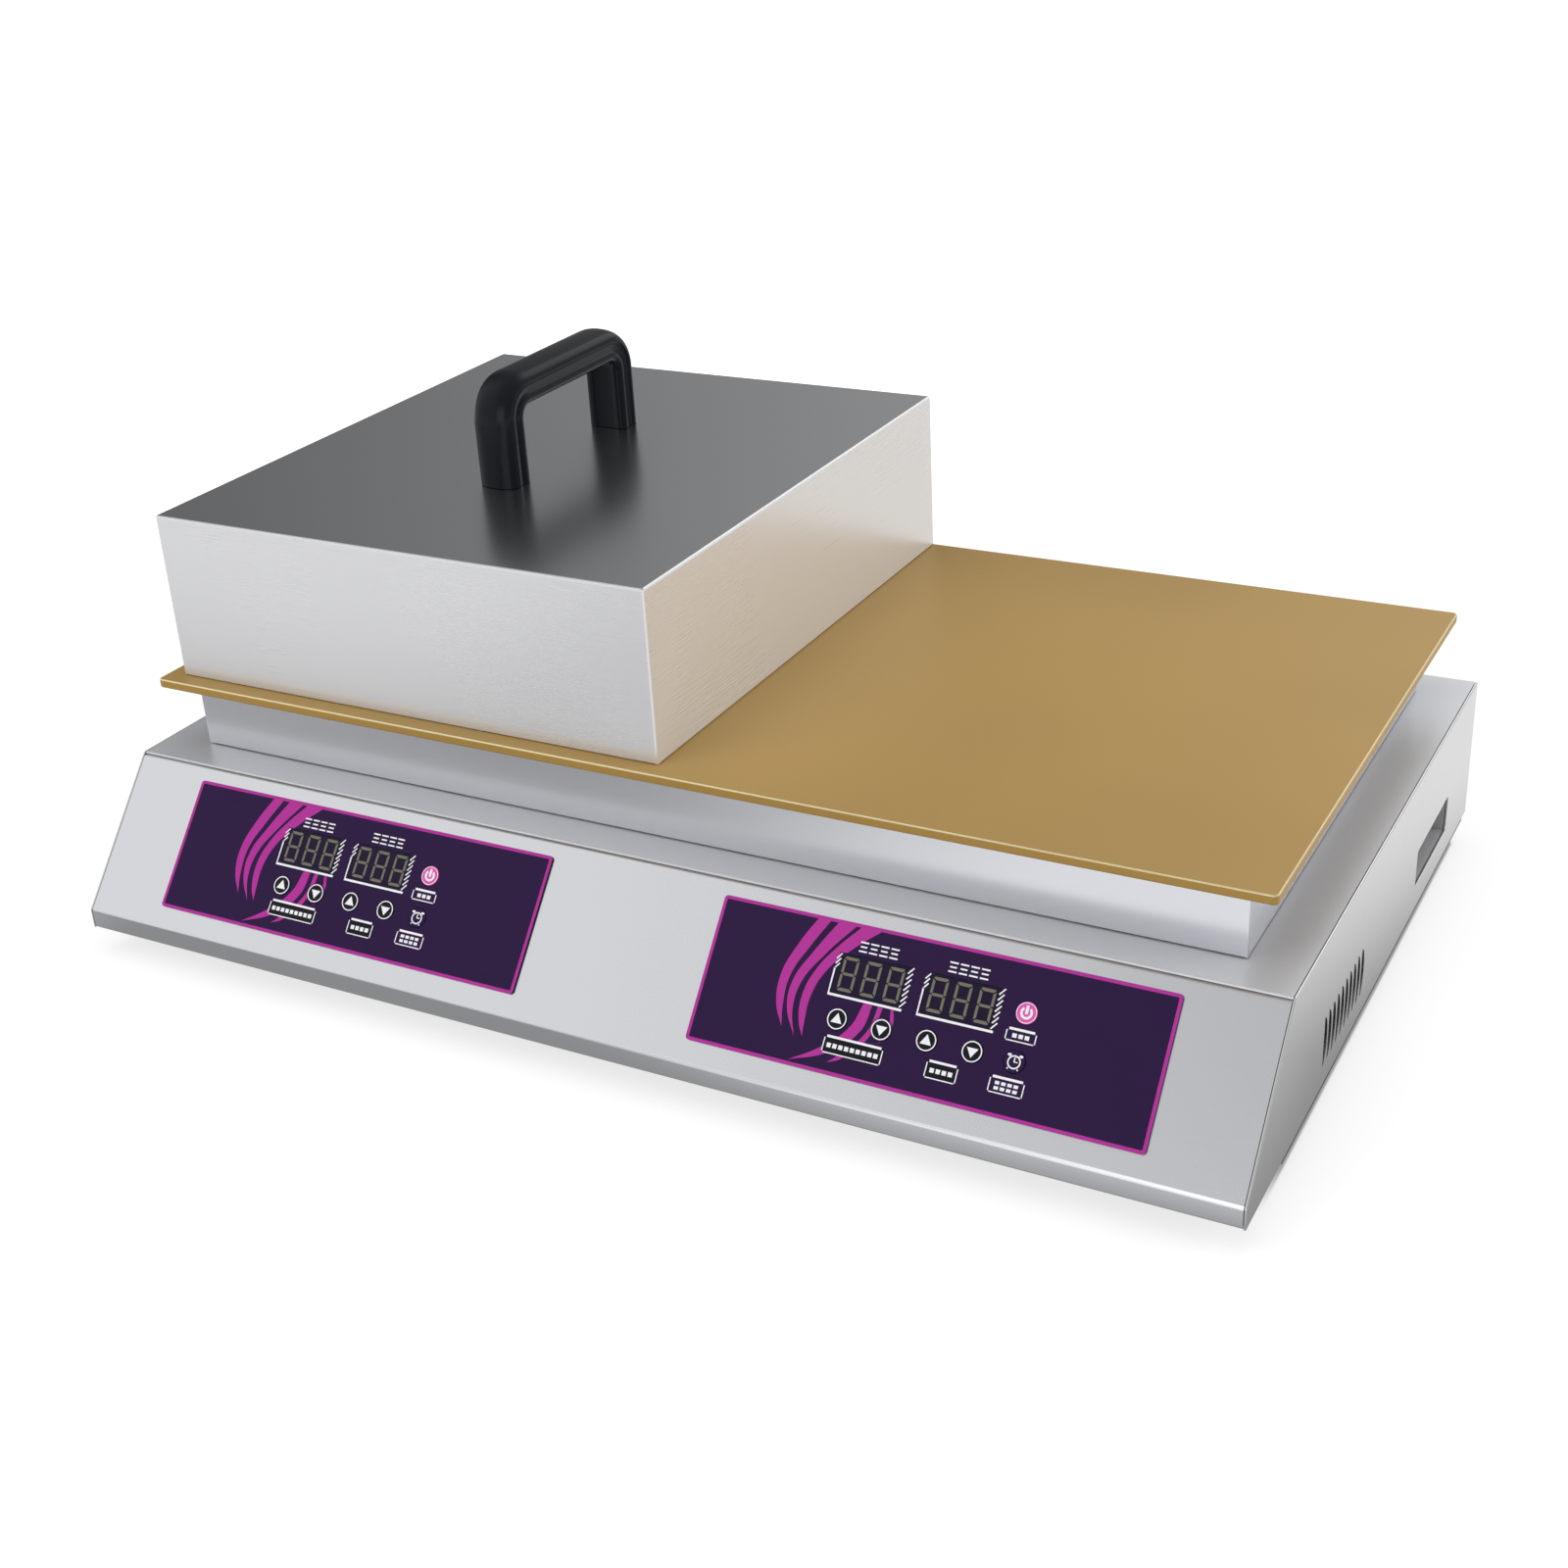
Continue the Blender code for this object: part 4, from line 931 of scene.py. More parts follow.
    def bevel(self, test: Test, width: float, steps: int) -> None:
        """Round the edges that pass a test.

        Args:
            test: takes an edge's middle and direction.
            width: how far the rounding reaches.
            steps: how many stretches it has.
        """
        with self.bench():
            self.pick(Part.EDGE, test)
            bpy.ops.mesh.bevel(offset=width, segments=steps, affect="EDGES")

    def modify(self, kind: str, **settings: object) -> None:
        """Add a modifier and apply it.

        Args:
            kind: the modifier's type.
            settings: its properties.
        """
        self.hold()
        bpy.ops.object.modifier_add(type=kind)
        change = self.thing.modifiers[-1]
        for name, value in settings.items():
            setattr(change, name, value)
        bpy.ops.object.modifier_apply(modifier=change.name)

    def cut(self, *tools: "Workpiece") -> None:
        """Cut other pieces out of this one and throw them away.

        Args:
            tools: the pieces to cut with.
        """
        for tool in tools:
            self.modify("BOOLEAN", operation="DIFFERENCE", solver="EXACT", object=tool.thing)
            bpy.data.objects.remove(tool.thing, do_unlink=True)

    def soften(self, width: float, steps: int = 2) -> None:
        """Break every sharp edge by a small rounding."""
        self.modify("BEVEL", width=width, segments=steps, limit_method="ANGLE", angle_limit=SHARP_FROM)

    def join(self, *others: "Workpiece") -> None:
        """Join other pieces to this one, each with its own finish.

        Args:
            others: the pieces that are taken in.
        """
        self.hold()
        for other in others:
            other.thing.select_set(True)
        bpy.ops.object.join()

    def copy(self, name: str, place: Matrix) -> "Workpiece":
        """Make a copy with its own mesh.

        Args:
            name: the copy's name.
            place: how it is moved.

        Returns:
            The copy.
        """
        self.hold()
        bpy.ops.object.duplicate(linked=False)
        made = Workpiece(name)
        made.stand(place)
        return made

    def paint(self, finish: Finish, test: Test | None = None) -> "Workpiece":
        """Give the whole piece one finish, or give the faces that pass a test a further one.

        Args:
            finish: the finish.
            test: takes a face's middle and normal.

        Returns:
            This piece.
        """
        if test is None:
            finish.coat(self.thing)
            return self
        self.thing.data.materials.append(finish.material())
        with self.bench():
            self.pick(Part.FACE, test)
            self.thing.active_material_index = len(self.thing.data.materials) - 1
            bpy.ops.object.material_slot_assign()
        return self

    def smooth(self, flats: bool = True) -> None:
        """Shade round stretches smooth.

        Args:
            flats: whether the piece has flats to be kept flat.
        """
        self.hold()
        bpy.ops.object.shade_smooth_by_angle(angle=SMOOTH_UP_TO)
        if flats:
            self.modify("WEIGHTED_NORMAL", keep_sharp=True)

    def dress(self, body: str, slot: str, *nodes: str, flats: bool = True) -> bpy.types.Object:
        """Finish the piece: smooth it and hand it to the frame.

        Args:
            body: the body that it rides on.
            slot: a material slot of the record; not used.
            nodes: the solids that it stands for.
            flats: whether it has flats to be kept flat.

        Returns:
            The piece's object.
        """
        self.smooth(flats)
        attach(self.thing, body)
        if nodes:
            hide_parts(*nodes)
        LOG.info("%s rides on %s, %d faces", self.thing.name, body, len(self.thing.data.polygons))
        return self.thing


# The base housing


@dataclass
class Housing:
    """Fascia, deck, side covers, rear cover and feet: everything that stands on the worktop."""

    lip_height: float = 11.5 * MM
    fascia_run: float = 62.8 * MM
    return_run: float = 60 * MM
    ledge_run: float = 10 * MM
    bend_radius: float = 1.4 * MM
    edge: float = 0.3 * MM
    top_round: float = 0.8 * MM
    flange: float = 20 * MM
    pan_front: float = 60.3 * MM
    wire_hole_radius: float = 12 * MM
    wire_hole_setback: float = 60 * MM
    louvres: int = 10
    louvre_pitch: float = 7.5 * MM
    louvre_width: float = 5.4 * MM
    louvre_height: float = 28 * MM
    louvre_setback: float = 155.5 * MM
    louvre_rise: float = 26 * MM
    grip_length: float = 72 * MM
    grip_height: float = 22 * MM
    grip_from_rear: float = 92 * MM
    grip_rise: float = 26 * MM
    grip_corner: float = 2.5 * MM
    vents: int = 14
    vent_pitch: float = 8 * MM
    vent_width: float = 3 * MM
    vent_height: float = 30 * MM
    vent_offset: float = 130 * MM
    vent_rise: float = 48 * MM
    gland_hole: float = 10.3 * MM
    screw_columns: tuple[float, ...] = (-0.31, -0.2, 0, 0.2, 0.31)
    screw_inset: float = 8 * MM
    screw_radius: float = 2.9 * MM
    screw_height: float = 1.7 * MM
    foot_height: float = 10.2 * MM
    foot_stem: float = 3 * MM
    # In millimetres, from the hollow middle outwards
    foot_tread: tuple[Point, ...] = ((0, 2.2), (5, 2.2), (6, 0.4), (6.6, 0), (11.4, 0), (12, 0.6))
    low: Vector = field(init=False)
    high: Vector = field(init=False)

    def __post_init__(self) -> None:
        """Read the housing's outer corners from the frame."""
        self.low, self.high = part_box("right_side_panel")

    @property
    def fold(self) -> Vector:
        """The point above the lip where the fascia turns back."""
        return Vector((0, self.low.y, self.low.z + self.lip_height))

    @property
    def deck_front(self) -> Vector:
        """The middle of the deck's front edge, where the slope ends."""
        return Vector((0, self.low.y + self.fascia_run, self.high.z))

    @property
    def uphill(self) -> Vector:
        """The way up the fascia's slope."""
        return (self.deck_front - self.fold).normalized()

    @property
    def slope(self) -> Matrix:
        """The fascia's own frame: x across, y up the slope and z out of it, from the deck's front edge."""
        turn = math.atan2(self.uphill.z, self.uphill.y)
        return Matrix.Translation(self.deck_front) @ Matrix.Rotation(turn, 4, "X")

    def build(self) -> None:
        """Build and dress every piece of the housing."""
        self.fascia()
        self.deck()
        self.rear_cover()
        for name, side in SIDES.items():
            self.side_cover(name, side)
        self.feet()

    def fascia(self) -> None:
        """Fold the fascia from one sheet: return, lip, slope and the ledge under the deck."""
        low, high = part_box("front_fascia")
        top = self.fold + self.uphill * ((high.z - self.fold.z) / self.uphill.z)
        bends = [
            Vector((0, low.y + self.return_run, low.z)),
            Vector((0, low.y, low.z)),
            self.fold,
            top,
            top + Vector((0, self.ledge_run, 0)),
        ]
        piece = folded_sheet("fascia_sheet", high.x, bends, self.bend_radius)
        for name in SIDES:
            layout = PanelLayout(name)
            holes = layout.moved(*layout.openings())
            piece.cut(Workpiece.drawn("fascia_cutter", holes, -SHEET - OVERRUN, OVERRUN, self.slope))
        piece.paint(FASCIA_STEEL).dress("base", "housing_steel", "front_fascia")

    def deck(self) -> None:
        """Make the deck a sheet with a soft front fold and its two wire holes."""
        low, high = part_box("top_deck")
        piece = Workpiece.block("deck_sheet", low, high)
        x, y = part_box("griddle_plate")[1].x / 2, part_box("skirt_rear")[1].y - self.wire_hole_setback
        holes = [disc((side * x, y), self.wire_hole_radius) for side in SIDES.values()]
        piece.cut(Workpiece.drawn("deck_holes", holes, low.z - OVERRUN, high.z + OVERRUN))
        piece.bevel(
            lambda at, run: abs(run.x) > NEARLY and at.y < low.y + TINY and at.z > high.z - TINY,
            self.top_round, 3,
        )
        piece.paint(DECK_STEEL).dress("base", "housing_steel", "top_deck")

    def side_cover(self, name: str, side: int) -> None:
        """Cut a side cover to the housing's profile, with louvres, a grip opening and a foot flange.

        Args:
            name: left or right.
            side: minus one on the left and one on the right.
        """
        low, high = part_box(f"{name}_side_panel")
        inner, outer = sorted((side * self.high.x, side * (self.high.x - SHEET)))
        piece = Workpiece.block(f"{name}_side_cover", (inner, low.y, low.z), (outer, high.y, high.z))
        outwards = (0, -self.uphill.z, self.uphill.y)
        piece.split(self.fold, outwards, clear_outer=True, use_fill=True)
        ends = (low.y + self.pan_front, high.y - SHEET - GAP)
        for y in ends:
            piece.split((0, y, 0), (0, 1, 0))
        piece.split((0, 0, low.z + SHEET), (0, 0, 1))
        piece.push(
            lambda at, way: way.x * side < -NEARLY and at.z < low.z + SHEET and ends[0] < at.y < ends[1],
            (-side * (self.flange - SHEET), 0, 0),
        )
        piece.bevel(
            lambda at, run: at.x * side > self.high.x - TINY and at.z > high.z - TINY, self.top_round, 4
        )
        grip = (high.y - self.grip_from_rear, self.low.z + self.grip_rise)
        span = sorted((side * (self.high.x - SHEET - OVERRUN), side * (self.high.x + OVERRUN)))
        opening = centred_bar(grip, self.grip_length, self.grip_height, self.grip_corner)
        piece.cut(Workpiece.drawn("grip_cutter", [opening], *span, ALONG_X))
        piece.soften(self.edge)
        piece.cut(Workpiece.drawn("louvre_cutter", self.louvre_slots(), *span, ALONG_X))
        piece.paint(SIDE_STEEL).dress("base", "housing_steel", f"{name}_side_panel")

    def louvre_slots(self) -> list[Outline]:
        """Lay out the louvre slots, seen from the side: flat in front and bowed behind.

        Returns:
            One outline for each slot.
        """
        first = self.low.y + self.louvre_setback - self.louvre_width / 2
        z, bow = self.low.z + self.louvre_rise, (self.louvre_width, self.louvre_height / 2)
        places = spread(first, self.louvres, self.louvre_pitch)
        return [Outline(tuple(arc((y, z), bow, -90, 90, 12))) for y in places]

    def rear_cover(self) -> None:
        """Cut the rear cover, with round-ended vent slots and the gland's hole, and set its screws."""
        low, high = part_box("rear_panel")
        piece = Workpiece.block("rear_cover", low, high)
        vent_z, corner = self.low.z + self.vent_rise, self.vent_width / 2 - TINY
        slots = [
            centred_bar((x, vent_z), self.vent_width, self.vent_height, corner)
            for side in SIDES.values()
            for x in spread(side * self.vent_offset, self.vents, self.vent_pitch)
        ]
        gland = middle("cable_gland")
        slots.append(disc((gland.x, gland.z), self.gland_hole))
        piece.cut(Workpiece.drawn("rear_cutter", slots, -high.y - OVERRUN, -low.y + OVERRUN, ALONG_Y))
        piece.soften(self.edge)
        piece.paint(REAR_STEEL)
        rows = (low.z + self.screw_inset, high.z - self.screw_inset)
        piece.join(*(self.screw((x, high.y, z)) for x in self.screw_columns for z in rows))
        piece.dress("base", "housing_steel", "rear_panel")

    def screw(self, place: Sequence[float]) -> Workpiece:
        """Turn a pan-head screw's head with a cross recess.

        Args:
            place: where it stands on the rear cover.

        Returns:
            The screw head.
        """
        radius, height, facing = self.screw_radius, self.screw_height, rearward(place)
        profile = [
            (0, -SHEET), (radius / 2, -SHEET), (radius / 2, 0), (radius, 0), (radius, height * 0.35),
            (radius * 0.8, height * 0.85), (radius * 0.4, height), (0, height),
        ]
        head = Workpiece.turned("cover_screw", profile, 20, facing)
        arm, half = radius * 0.62, radius * 0.13
        cross, limb = [], [(arm, -half), (arm, half), (half, half)]
        for _ in range(4):
            cross += limb
            limb = [(-y, x) for x, y in limb]
        recess = Outline(tuple(cross))
        head.cut(Workpiece.drawn("cross_recess", [recess], height * 0.4, height + OVERRUN, facing))
        return head.paint(PLATED)

    def feet(self) -> None:
        """Turn one rubber foot with a hollow tread, and copy it to all four places."""
        nodes = [f"foot_{row}_{side}" for row in ("front", "rear") for side in SIDES]
        low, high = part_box(nodes[0])
        wide, top, stem = (high.x - low.x) / 2, self.foot_height, self.foot_stem
        profile = [(x * MM, z * MM) for x, z in self.foot_tread] + [
            (wide - 0.3 * MM, top - 1.2 * MM), (wide, top - 0.8 * MM), (wide - 0.6 * MM, top),
            (stem, top), (stem, high.z), (0, high.z),
        ]
        first = middle(nodes[0])
        pieces = [Workpiece.turned("foot_rubber_1", profile, 40, Matrix.Translation((*first.xy, 0)))]
        pieces[0].paint(RUBBER)
        for number, node in enumerate(nodes[1:], start=2):
            way = middle(node) - first
            pieces.append(pieces[0].copy(f"foot_rubber_{number}", Matrix.Translation((*way.xy, 0))))
        for piece, node in zip(pieces, nodes):
            piece.dress("base", "foot_rubber", node)


@dataclass
class Gland:
    """The cable gland in the rear cover: a threaded tube with a hexagon and a ribbed cap."""

    bore: float = 4.5 * MM
    thread: float = 10 * MM
    cap: float = 10.8 * MM
    nose: float = 7.5 * MM
    hexagon: float = 13.9 * MM
    hexagon_bore: float = 9 * MM
    hexagon_top: float = GAP + 6 * MM
    cap_top: float = GAP + 15 * MM
    rib: float = 0.7 * MM
    rib_taper: float = 0.94
    steps: int = 48

    def build(self) -> None:
        """Turn the tube and cap, draw every second stretch of the cap outwards, and add the hexagon."""
        low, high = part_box("cable_gland")
        centre, rear_y = middle("cable_gland"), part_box("rear_panel")[1].y
        facing = rearward((centre.x, rear_y, centre.z))
        back, reach = low.y - rear_y, high.y - rear_y
        profile = [
            (self.bore, back), (self.thread - 0.4 * MM, back), (self.thread, back + 0.4 * MM),
            (self.thread, GAP), (self.cap, self.hexagon_top), (self.cap, self.cap_top - 1 * MM),
            (self.thread, self.cap_top + 0.6 * MM), (self.nose, reach), (self.bore + 0.7 * MM, reach),
            (self.bore, reach - 0.7 * MM),
        ]
        piece = Workpiece.turned("gland_body", profile, self.steps, facing)
        cap_y = rear_y + (self.hexagon_top + self.cap_top) / 2
        with piece.bench():
            ribs_y = rear_y + self.hexagon_top
            piece.pick(
                Part.FACE, lambda at, way: at.y > ribs_y and abs(way.y) < ACROSS and self.ribbed(at - centre)
            )
            bpy.ops.mesh.extrude_region_shrink_fatten(TRANSFORM_OT_shrink_fatten={"value": self.rib})
            bpy.ops.transform.resize(
                value=(1, self.rib_taper, 1), center_override=(centre.x, cap_y, centre.z)
            )
        outlines = [disc((0, 0), self.hexagon, 6), disc((0, 0), self.hexagon_bore)]
        hexagon = Workpiece.drawn("gland_hexagon", outlines, GAP, self.hexagon_top, facing)
        hexagon.soften(0.5 * MM)
        piece.join(hexagon)
        piece.paint(NYLON).dress("base", "gland_plastic", "cable_gland")

    def ribbed(self, at: Vector) -> bool:
        """Return whether a place off the gland's axis is on the cap's outside and on a rib."""
        stretch = math.degrees(math.atan2(at.z, at.x)) // (360 / self.steps)
        return Vector((at.x, at.z)).length > self.cap - 0.3 * MM and stretch % 2 == 0


def folded_sheet(name: str, half_width: float, bends: Sequence[Vector], radius: float) -> Workpiece:
    """Fold a sheet along X: extrude an edge from bend to bend, round the bends and add a wall inside.

    Args:
        name: the piece's name.
        half_width: half of the sheet's width.
        bends: points on the outer face, seen from +X anticlockwise round the inside.
        radius: how far each bend's rounding reaches.

    Returns:
        The folded sheet.
    """
    Workpiece.clear()
    bpy.ops.mesh.primitive_plane_add(size=1)
    piece = Workpiece(name)
    with piece.bench():
        piece.pick(Part.VERT, lambda at, _: at.y > 0)
        bpy.ops.mesh.delete(type="VERT")
        bpy.ops.mesh.select_all(action="SELECT")
        bpy.ops.transform.resize(value=(2 * half_width, 1, 1))
        bpy.ops.transform.translate(value=bends[0] - Vector((0, -0.5, 0)))
        bpy.ops.mesh.select_mode(type="EDGE")
        bpy.ops.mesh.select_all(action="SELECT")
        for here, there in zip(bends, bends[1:]):
            piece.extrude(there - here)
    inner = bends[1:-1]
    piece.bevel(
        lambda at, run: abs(run.x) > NEARLY and any((at - bend).length < TINY for bend in inner), radius, 4
    )
    with piece.bench():
        first = next(iter(bmesh.from_edit_mesh(piece.thing.data).faces))
        inside = sum(bends, Vector()) / len(bends)
        if first.normal.dot(first.calc_center_median() - inside) < 0:
            bpy.ops.mesh.flip_normals()
    piece.modify("SOLIDIFY", thickness=SHEET, offset=-1, use_even_offset=True)
    return piece


# The heater box and the plate on it


@dataclass
class Griddle:
    """The plate, the four walls of the heater box below it, and the insulation inside."""

    plate_corner: float = 3 * MM
    plate_edge: float = 1.1 * MM
    bolt_hole: float = 3.3 * MM
    wall: float = 1.2 * MM
    flange: float = 14 * MM
    edge: float = 0.25 * MM
    seam: float = 0.3 * MM
    pad_round: float = 2.5 * MM
    pad_cuts: int = 12
    matting: float = 18 * MM
    matting_depth: float = 1.2 * MM

    def build(self) -> None:
        """Build and dress the plate, the box walls and the insulation."""
        self.plate()
        for name, inward in (("front", 1), ("rear", -1)):
            self.flanged_wall(name, inward)
        for name in SIDES:
            self.side_wall(name)
            self.pad(name)

    def plate(self) -> None:
        """Round the plate's corners and then both of its rims, and drill it for the clamp bolts."""
        low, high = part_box("griddle_plate")
        piece = Workpiece.block("griddle_slab", low, high)
        piece.bevel(lambda at, run: abs(run.z) > NEARLY, self.plate_corner, 6)
        piece.bevel(lambda at, run: abs(run.z) < ACROSS, self.plate_edge, 4)
        holes = [disc(tuple(middle(f"{name}_clamp_bolt").xy), self.bolt_hole) for name in SIDES]
        bolt_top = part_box("left_clamp_bolt")[1].z
        piece.cut(Workpiece.drawn("bolt_holes", holes, low.z - OVERRUN, bolt_top + GAP))
        piece.paint(BRONZE)
        piece.paint(BRONZE_EDGE, lambda at, way: abs(way.z) < 0.5 and at.z > low.z + TINY)
        # The rounded rim gets the lighter bronze: a painted highlight.
        piece.paint(BRONZE_RIM_PAINTED_HIGHLIGHT, lambda at, way: 0.5 < way.z < 0.98)
        piece.dress("base", "bronze_plate", "griddle_plate")

    def flanged_wall(self, name: str, inward: int) -> None:
        """Make a front or rear wall, with a flange drawn inwards from its top.

        Args:
            name: front or rear.
            inward: the sign of Y towards the middle of the box.
        """
        low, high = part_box(f"skirt_{name}")
        outer = low.y if inward > 0 else high.y
        near, far = sorted((outer, outer + inward * self.wall))
        piece = Workpiece.block(f"box_wall_{name}", (low.x, near, low.z + self.seam), (high.x, far, high.z))
        piece.split((0, 0, high.z - self.wall), (0, 0, 1))
        reach = high.x - self.wall - GAP
        for side in SIDES.values():
            piece.split((side * reach, 0, 0), (1, 0, 0))
        piece.push(
            lambda at, way: way.y * inward > NEARLY and at.z > high.z - self.wall and abs(at.x) < reach,
            (0, inward * (self.flange - self.wall), 0),
        )
        piece.soften(self.edge)
        piece.paint(SKIRT_STEEL).dress("base", "skirt_steel", f"skirt_{name}")

    def side_wall(self, name: str) -> None:
        """Make a plain side wall with broken edges, and a seam at each end.

        Args:
            name: left or right.
        """
        low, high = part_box(f"skirt_{name}")
        piece = Workpiece.block(
            f"box_wall_{name}", low + Vector((0, self.seam, self.seam)), high - Vector((0, self.seam, 0))
        )
        piece.soften(self.edge)
        piece.paint(SKIRT_SIDE_STEEL).dress("base", "skirt_steel", f"skirt_{name}")

    def pad(self, name: str) -> None:
        """Make an insulation pad with soft shoulders and a matted, uneven face.

        Args:
            name: left or right.
        """
        piece = Workpiece.block(f"{name}_wool_pad", *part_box(f"{name}_insulation_pad"))
        piece.bevel(lambda at, run: True, self.pad_round, 3)
        with piece.bench():
            bpy.ops.mesh.subdivide(number_cuts=self.pad_cuts)
        mat = bpy.data.textures.new(f"{name}_matting", "CLOUDS")
        mat.noise_scale = self.matting
        piece.modify(
            "DISPLACE", texture=mat, strength=-self.matting_depth, mid_level=0, texture_coords="LOCAL"
        )
        thing = piece.paint(WOOL).dress("base", "ceramic_wool", f"{name}_insulation_pad")


# The control panels


@dataclass(frozen=True)
class Stripe:
    """A curved stripe that narrows to a tip: points on its left and right edge, in panel millimetres."""

    left: tuple[Point, ...]
    right: tuple[Point, ...]
    tip: Point

    def outline(self) -> Outline:
        """Return the stripe, sharp at its tip and at both ends of its foot."""
        line = (*self.left, self.tip, *self.right[::-1])
        return Outline(line, True, frozenset((0, len(self.left), len(line) - 1)))


STRIPES = (
    Stripe(
        ((52.6, 1.7), (45.9, 15.7), (41.0, 32.1), (42.6, 46.4)),
        ((59.4, 1.7), (52.4, 15.7), (46.0, 32.1), (46.3, 46.4)),
        (48.7, 57.1),
    ),
    Stripe(
        ((63.6, 1.7), (54.8, 17.9), (48.0, 34.0), (48.7, 47.1)),
        ((73.2, 1.7), (61.3, 17.9), (52.7, 34.0), (51.9, 47.1)),
        (56.2, 60.0),
    ),
    Stripe(
        ((76.0, 1.7), (67.0, 12.6), (58.4, 26.4), (54.9, 40.0), (56.9, 52.9)),
        ((86.8, 1.7), (74.8, 12.6), (63.7, 26.4), (59.4, 40.0), (59.8, 52.9)),
        (60.5, 59.3),
    ),
    Stripe(
        ((87.3, 37.2), (83.7, 49.3), (71.6, 62.1)),
        ((91.9, 37.2), (89.6, 50.0), (75.9, 63.9)),
        (56.7, 71.8),
    ),
    Stripe(
        ((94.9, 37.2), (92.8, 49.6), (80.9, 64.6)),
        ((97.4, 37.2), (95.0, 51.0), (83.2, 65.6)),
        (76.6, 68.7),
    ),
    Stripe(((101.6, 37.2), (102.6, 44.5)), ((103.1, 37.2), (104.5, 44.5)), (99.8, 54.6)),
)


@dataclass(frozen=True)
class Label:
    """A small printed frame: its corners in panel millimetres and its rows of dashes."""

    low: Point
    high: Point
    rows: int = 1
    on_stripes: bool = False
    heavy: float = 1.2
    thin: float = 0.55
    dash: float = 2.2
    dash_gap: float = 0.9

    def outlines(self) -> list[Outline]:
        """Draw the label: a frame with a heavy top line, and rows of short dashes.

        Returns:
            The outlines.
        """
        (left, top), (right, bottom) = self.low, self.high
        over, under, inset = top + self.heavy / 2, bottom - 0.28, 0.3
        found = [stroke((left + self.heavy, over), (right - self.heavy, over), self.heavy)]
        for x in (left + inset, right - inset):
            found.append(stroke((x, top + 1.4), (x, bottom - 0.6), self.thin))
        found.append(stroke((left + 0.8, under), (right - 0.8, under), self.thin))
        row_height = (bottom - top - 3.2) / self.rows
        pitch = self.dash + self.dash_gap
        count = int((right - left - 3) // pitch)
        for row in range(self.rows):
            y = top + 2 + row_height * (row + 0.5)
            for x in spread((left + right) / 2, count, pitch):
                ends = (x - self.dash / 2, y), (x + self.dash / 2, y)
                found.append(stroke(*ends, min(self.dash, row_height * 0.62)))
        return found


@dataclass
class PanelLayout:
    """Where everything sits on one control panel, in millimetres from the overlay's top left corner."""

    name: str
    width: float = 237.5
    height: float = 74.4
    top_margin: float = 9.3
    corner: float = 2
    display_width: float = 37.8
    display_height: float = 19.9
    display_left: float = 68.9
    display_pitch: float = 47
    display_top: float = 15.7
    key_row: float = 47.5
    key_pitch: float = 23.4
    column: float = 167.6
    power_row: float = 24.2
    key_radius: float = 5.3
    labels: tuple[Label, ...] = (
        Label((72.2, 55.6), (103.4, 64.4), on_stripes=True),
        Label((126, 55.6), (142.2, 64.4), on_stripes=True),
        Label((160, 32), (175.2, 38.4)),
        Label((158, 55.4), (175.4, 63.6), rows=2),
    )

    @property
    def displays(self) -> dict[str, tuple[Point, Point]]:
        """Lay out the displays.

        Returns:
            The top left and the bottom right corner of each display by its name.
        """
        top, bottom = self.display_top, self.display_top + self.display_height
        lefts = {"temperature": self.display_left, "time": self.display_left + self.display_pitch}
        return {name: ((left, top), (left + self.display_width, bottom)) for name, left in lefts.items()}

    @property
    def keys(self) -> dict[str, Point]:
        """Lay out the keys.

        Returns:
            The middle of each key by its name.
        """
        places = {}
        for name, ((left, _), (right, _)) in self.displays.items():
            for kind, x in zip(("up", "down"), spread((left + right) / 2, 2, self.key_pitch)):
                places[f"{name}_{kind}"] = (x, self.key_row)
        places["power"] = (self.column, self.power_row)
        places["timer"] = (self.column, self.key_row)
        return places

    @property
    def origin(self) -> Point:
        """The overlay's top left corner in the slope's frame, in metres."""
        centre = middle(f"{self.name}_control_overlay").x
        return centre - self.width * MM / 2, -self.top_margin * MM

    def moved(self, *outlines: Outline) -> list[Outline]:
        """Turn outlines in panel millimetres into outlines in the slope's frame."""
        return [outline.metres(self.origin) for outline in outlines]

    def openings(self) -> list[Outline]:
        """Lay out the holes for the displays and the keys, with their clearance.

        Returns:
            The outlines, in panel millimetres.
        """
        gap = GAP / MM
        windows = [
            bar((left - gap, top - gap), (right + gap, bottom + gap))
            for (left, top), (right, bottom) in self.displays.values()
        ]
        return windows + [disc(place, self.key_radius + gap) for place in self.keys.values()]


class Sign(Enum):
    """The sign on a key, as the key's name ends."""

    UP = "up"
    DOWN = "down"
    POWER = "power"
    TIMER = "timer"


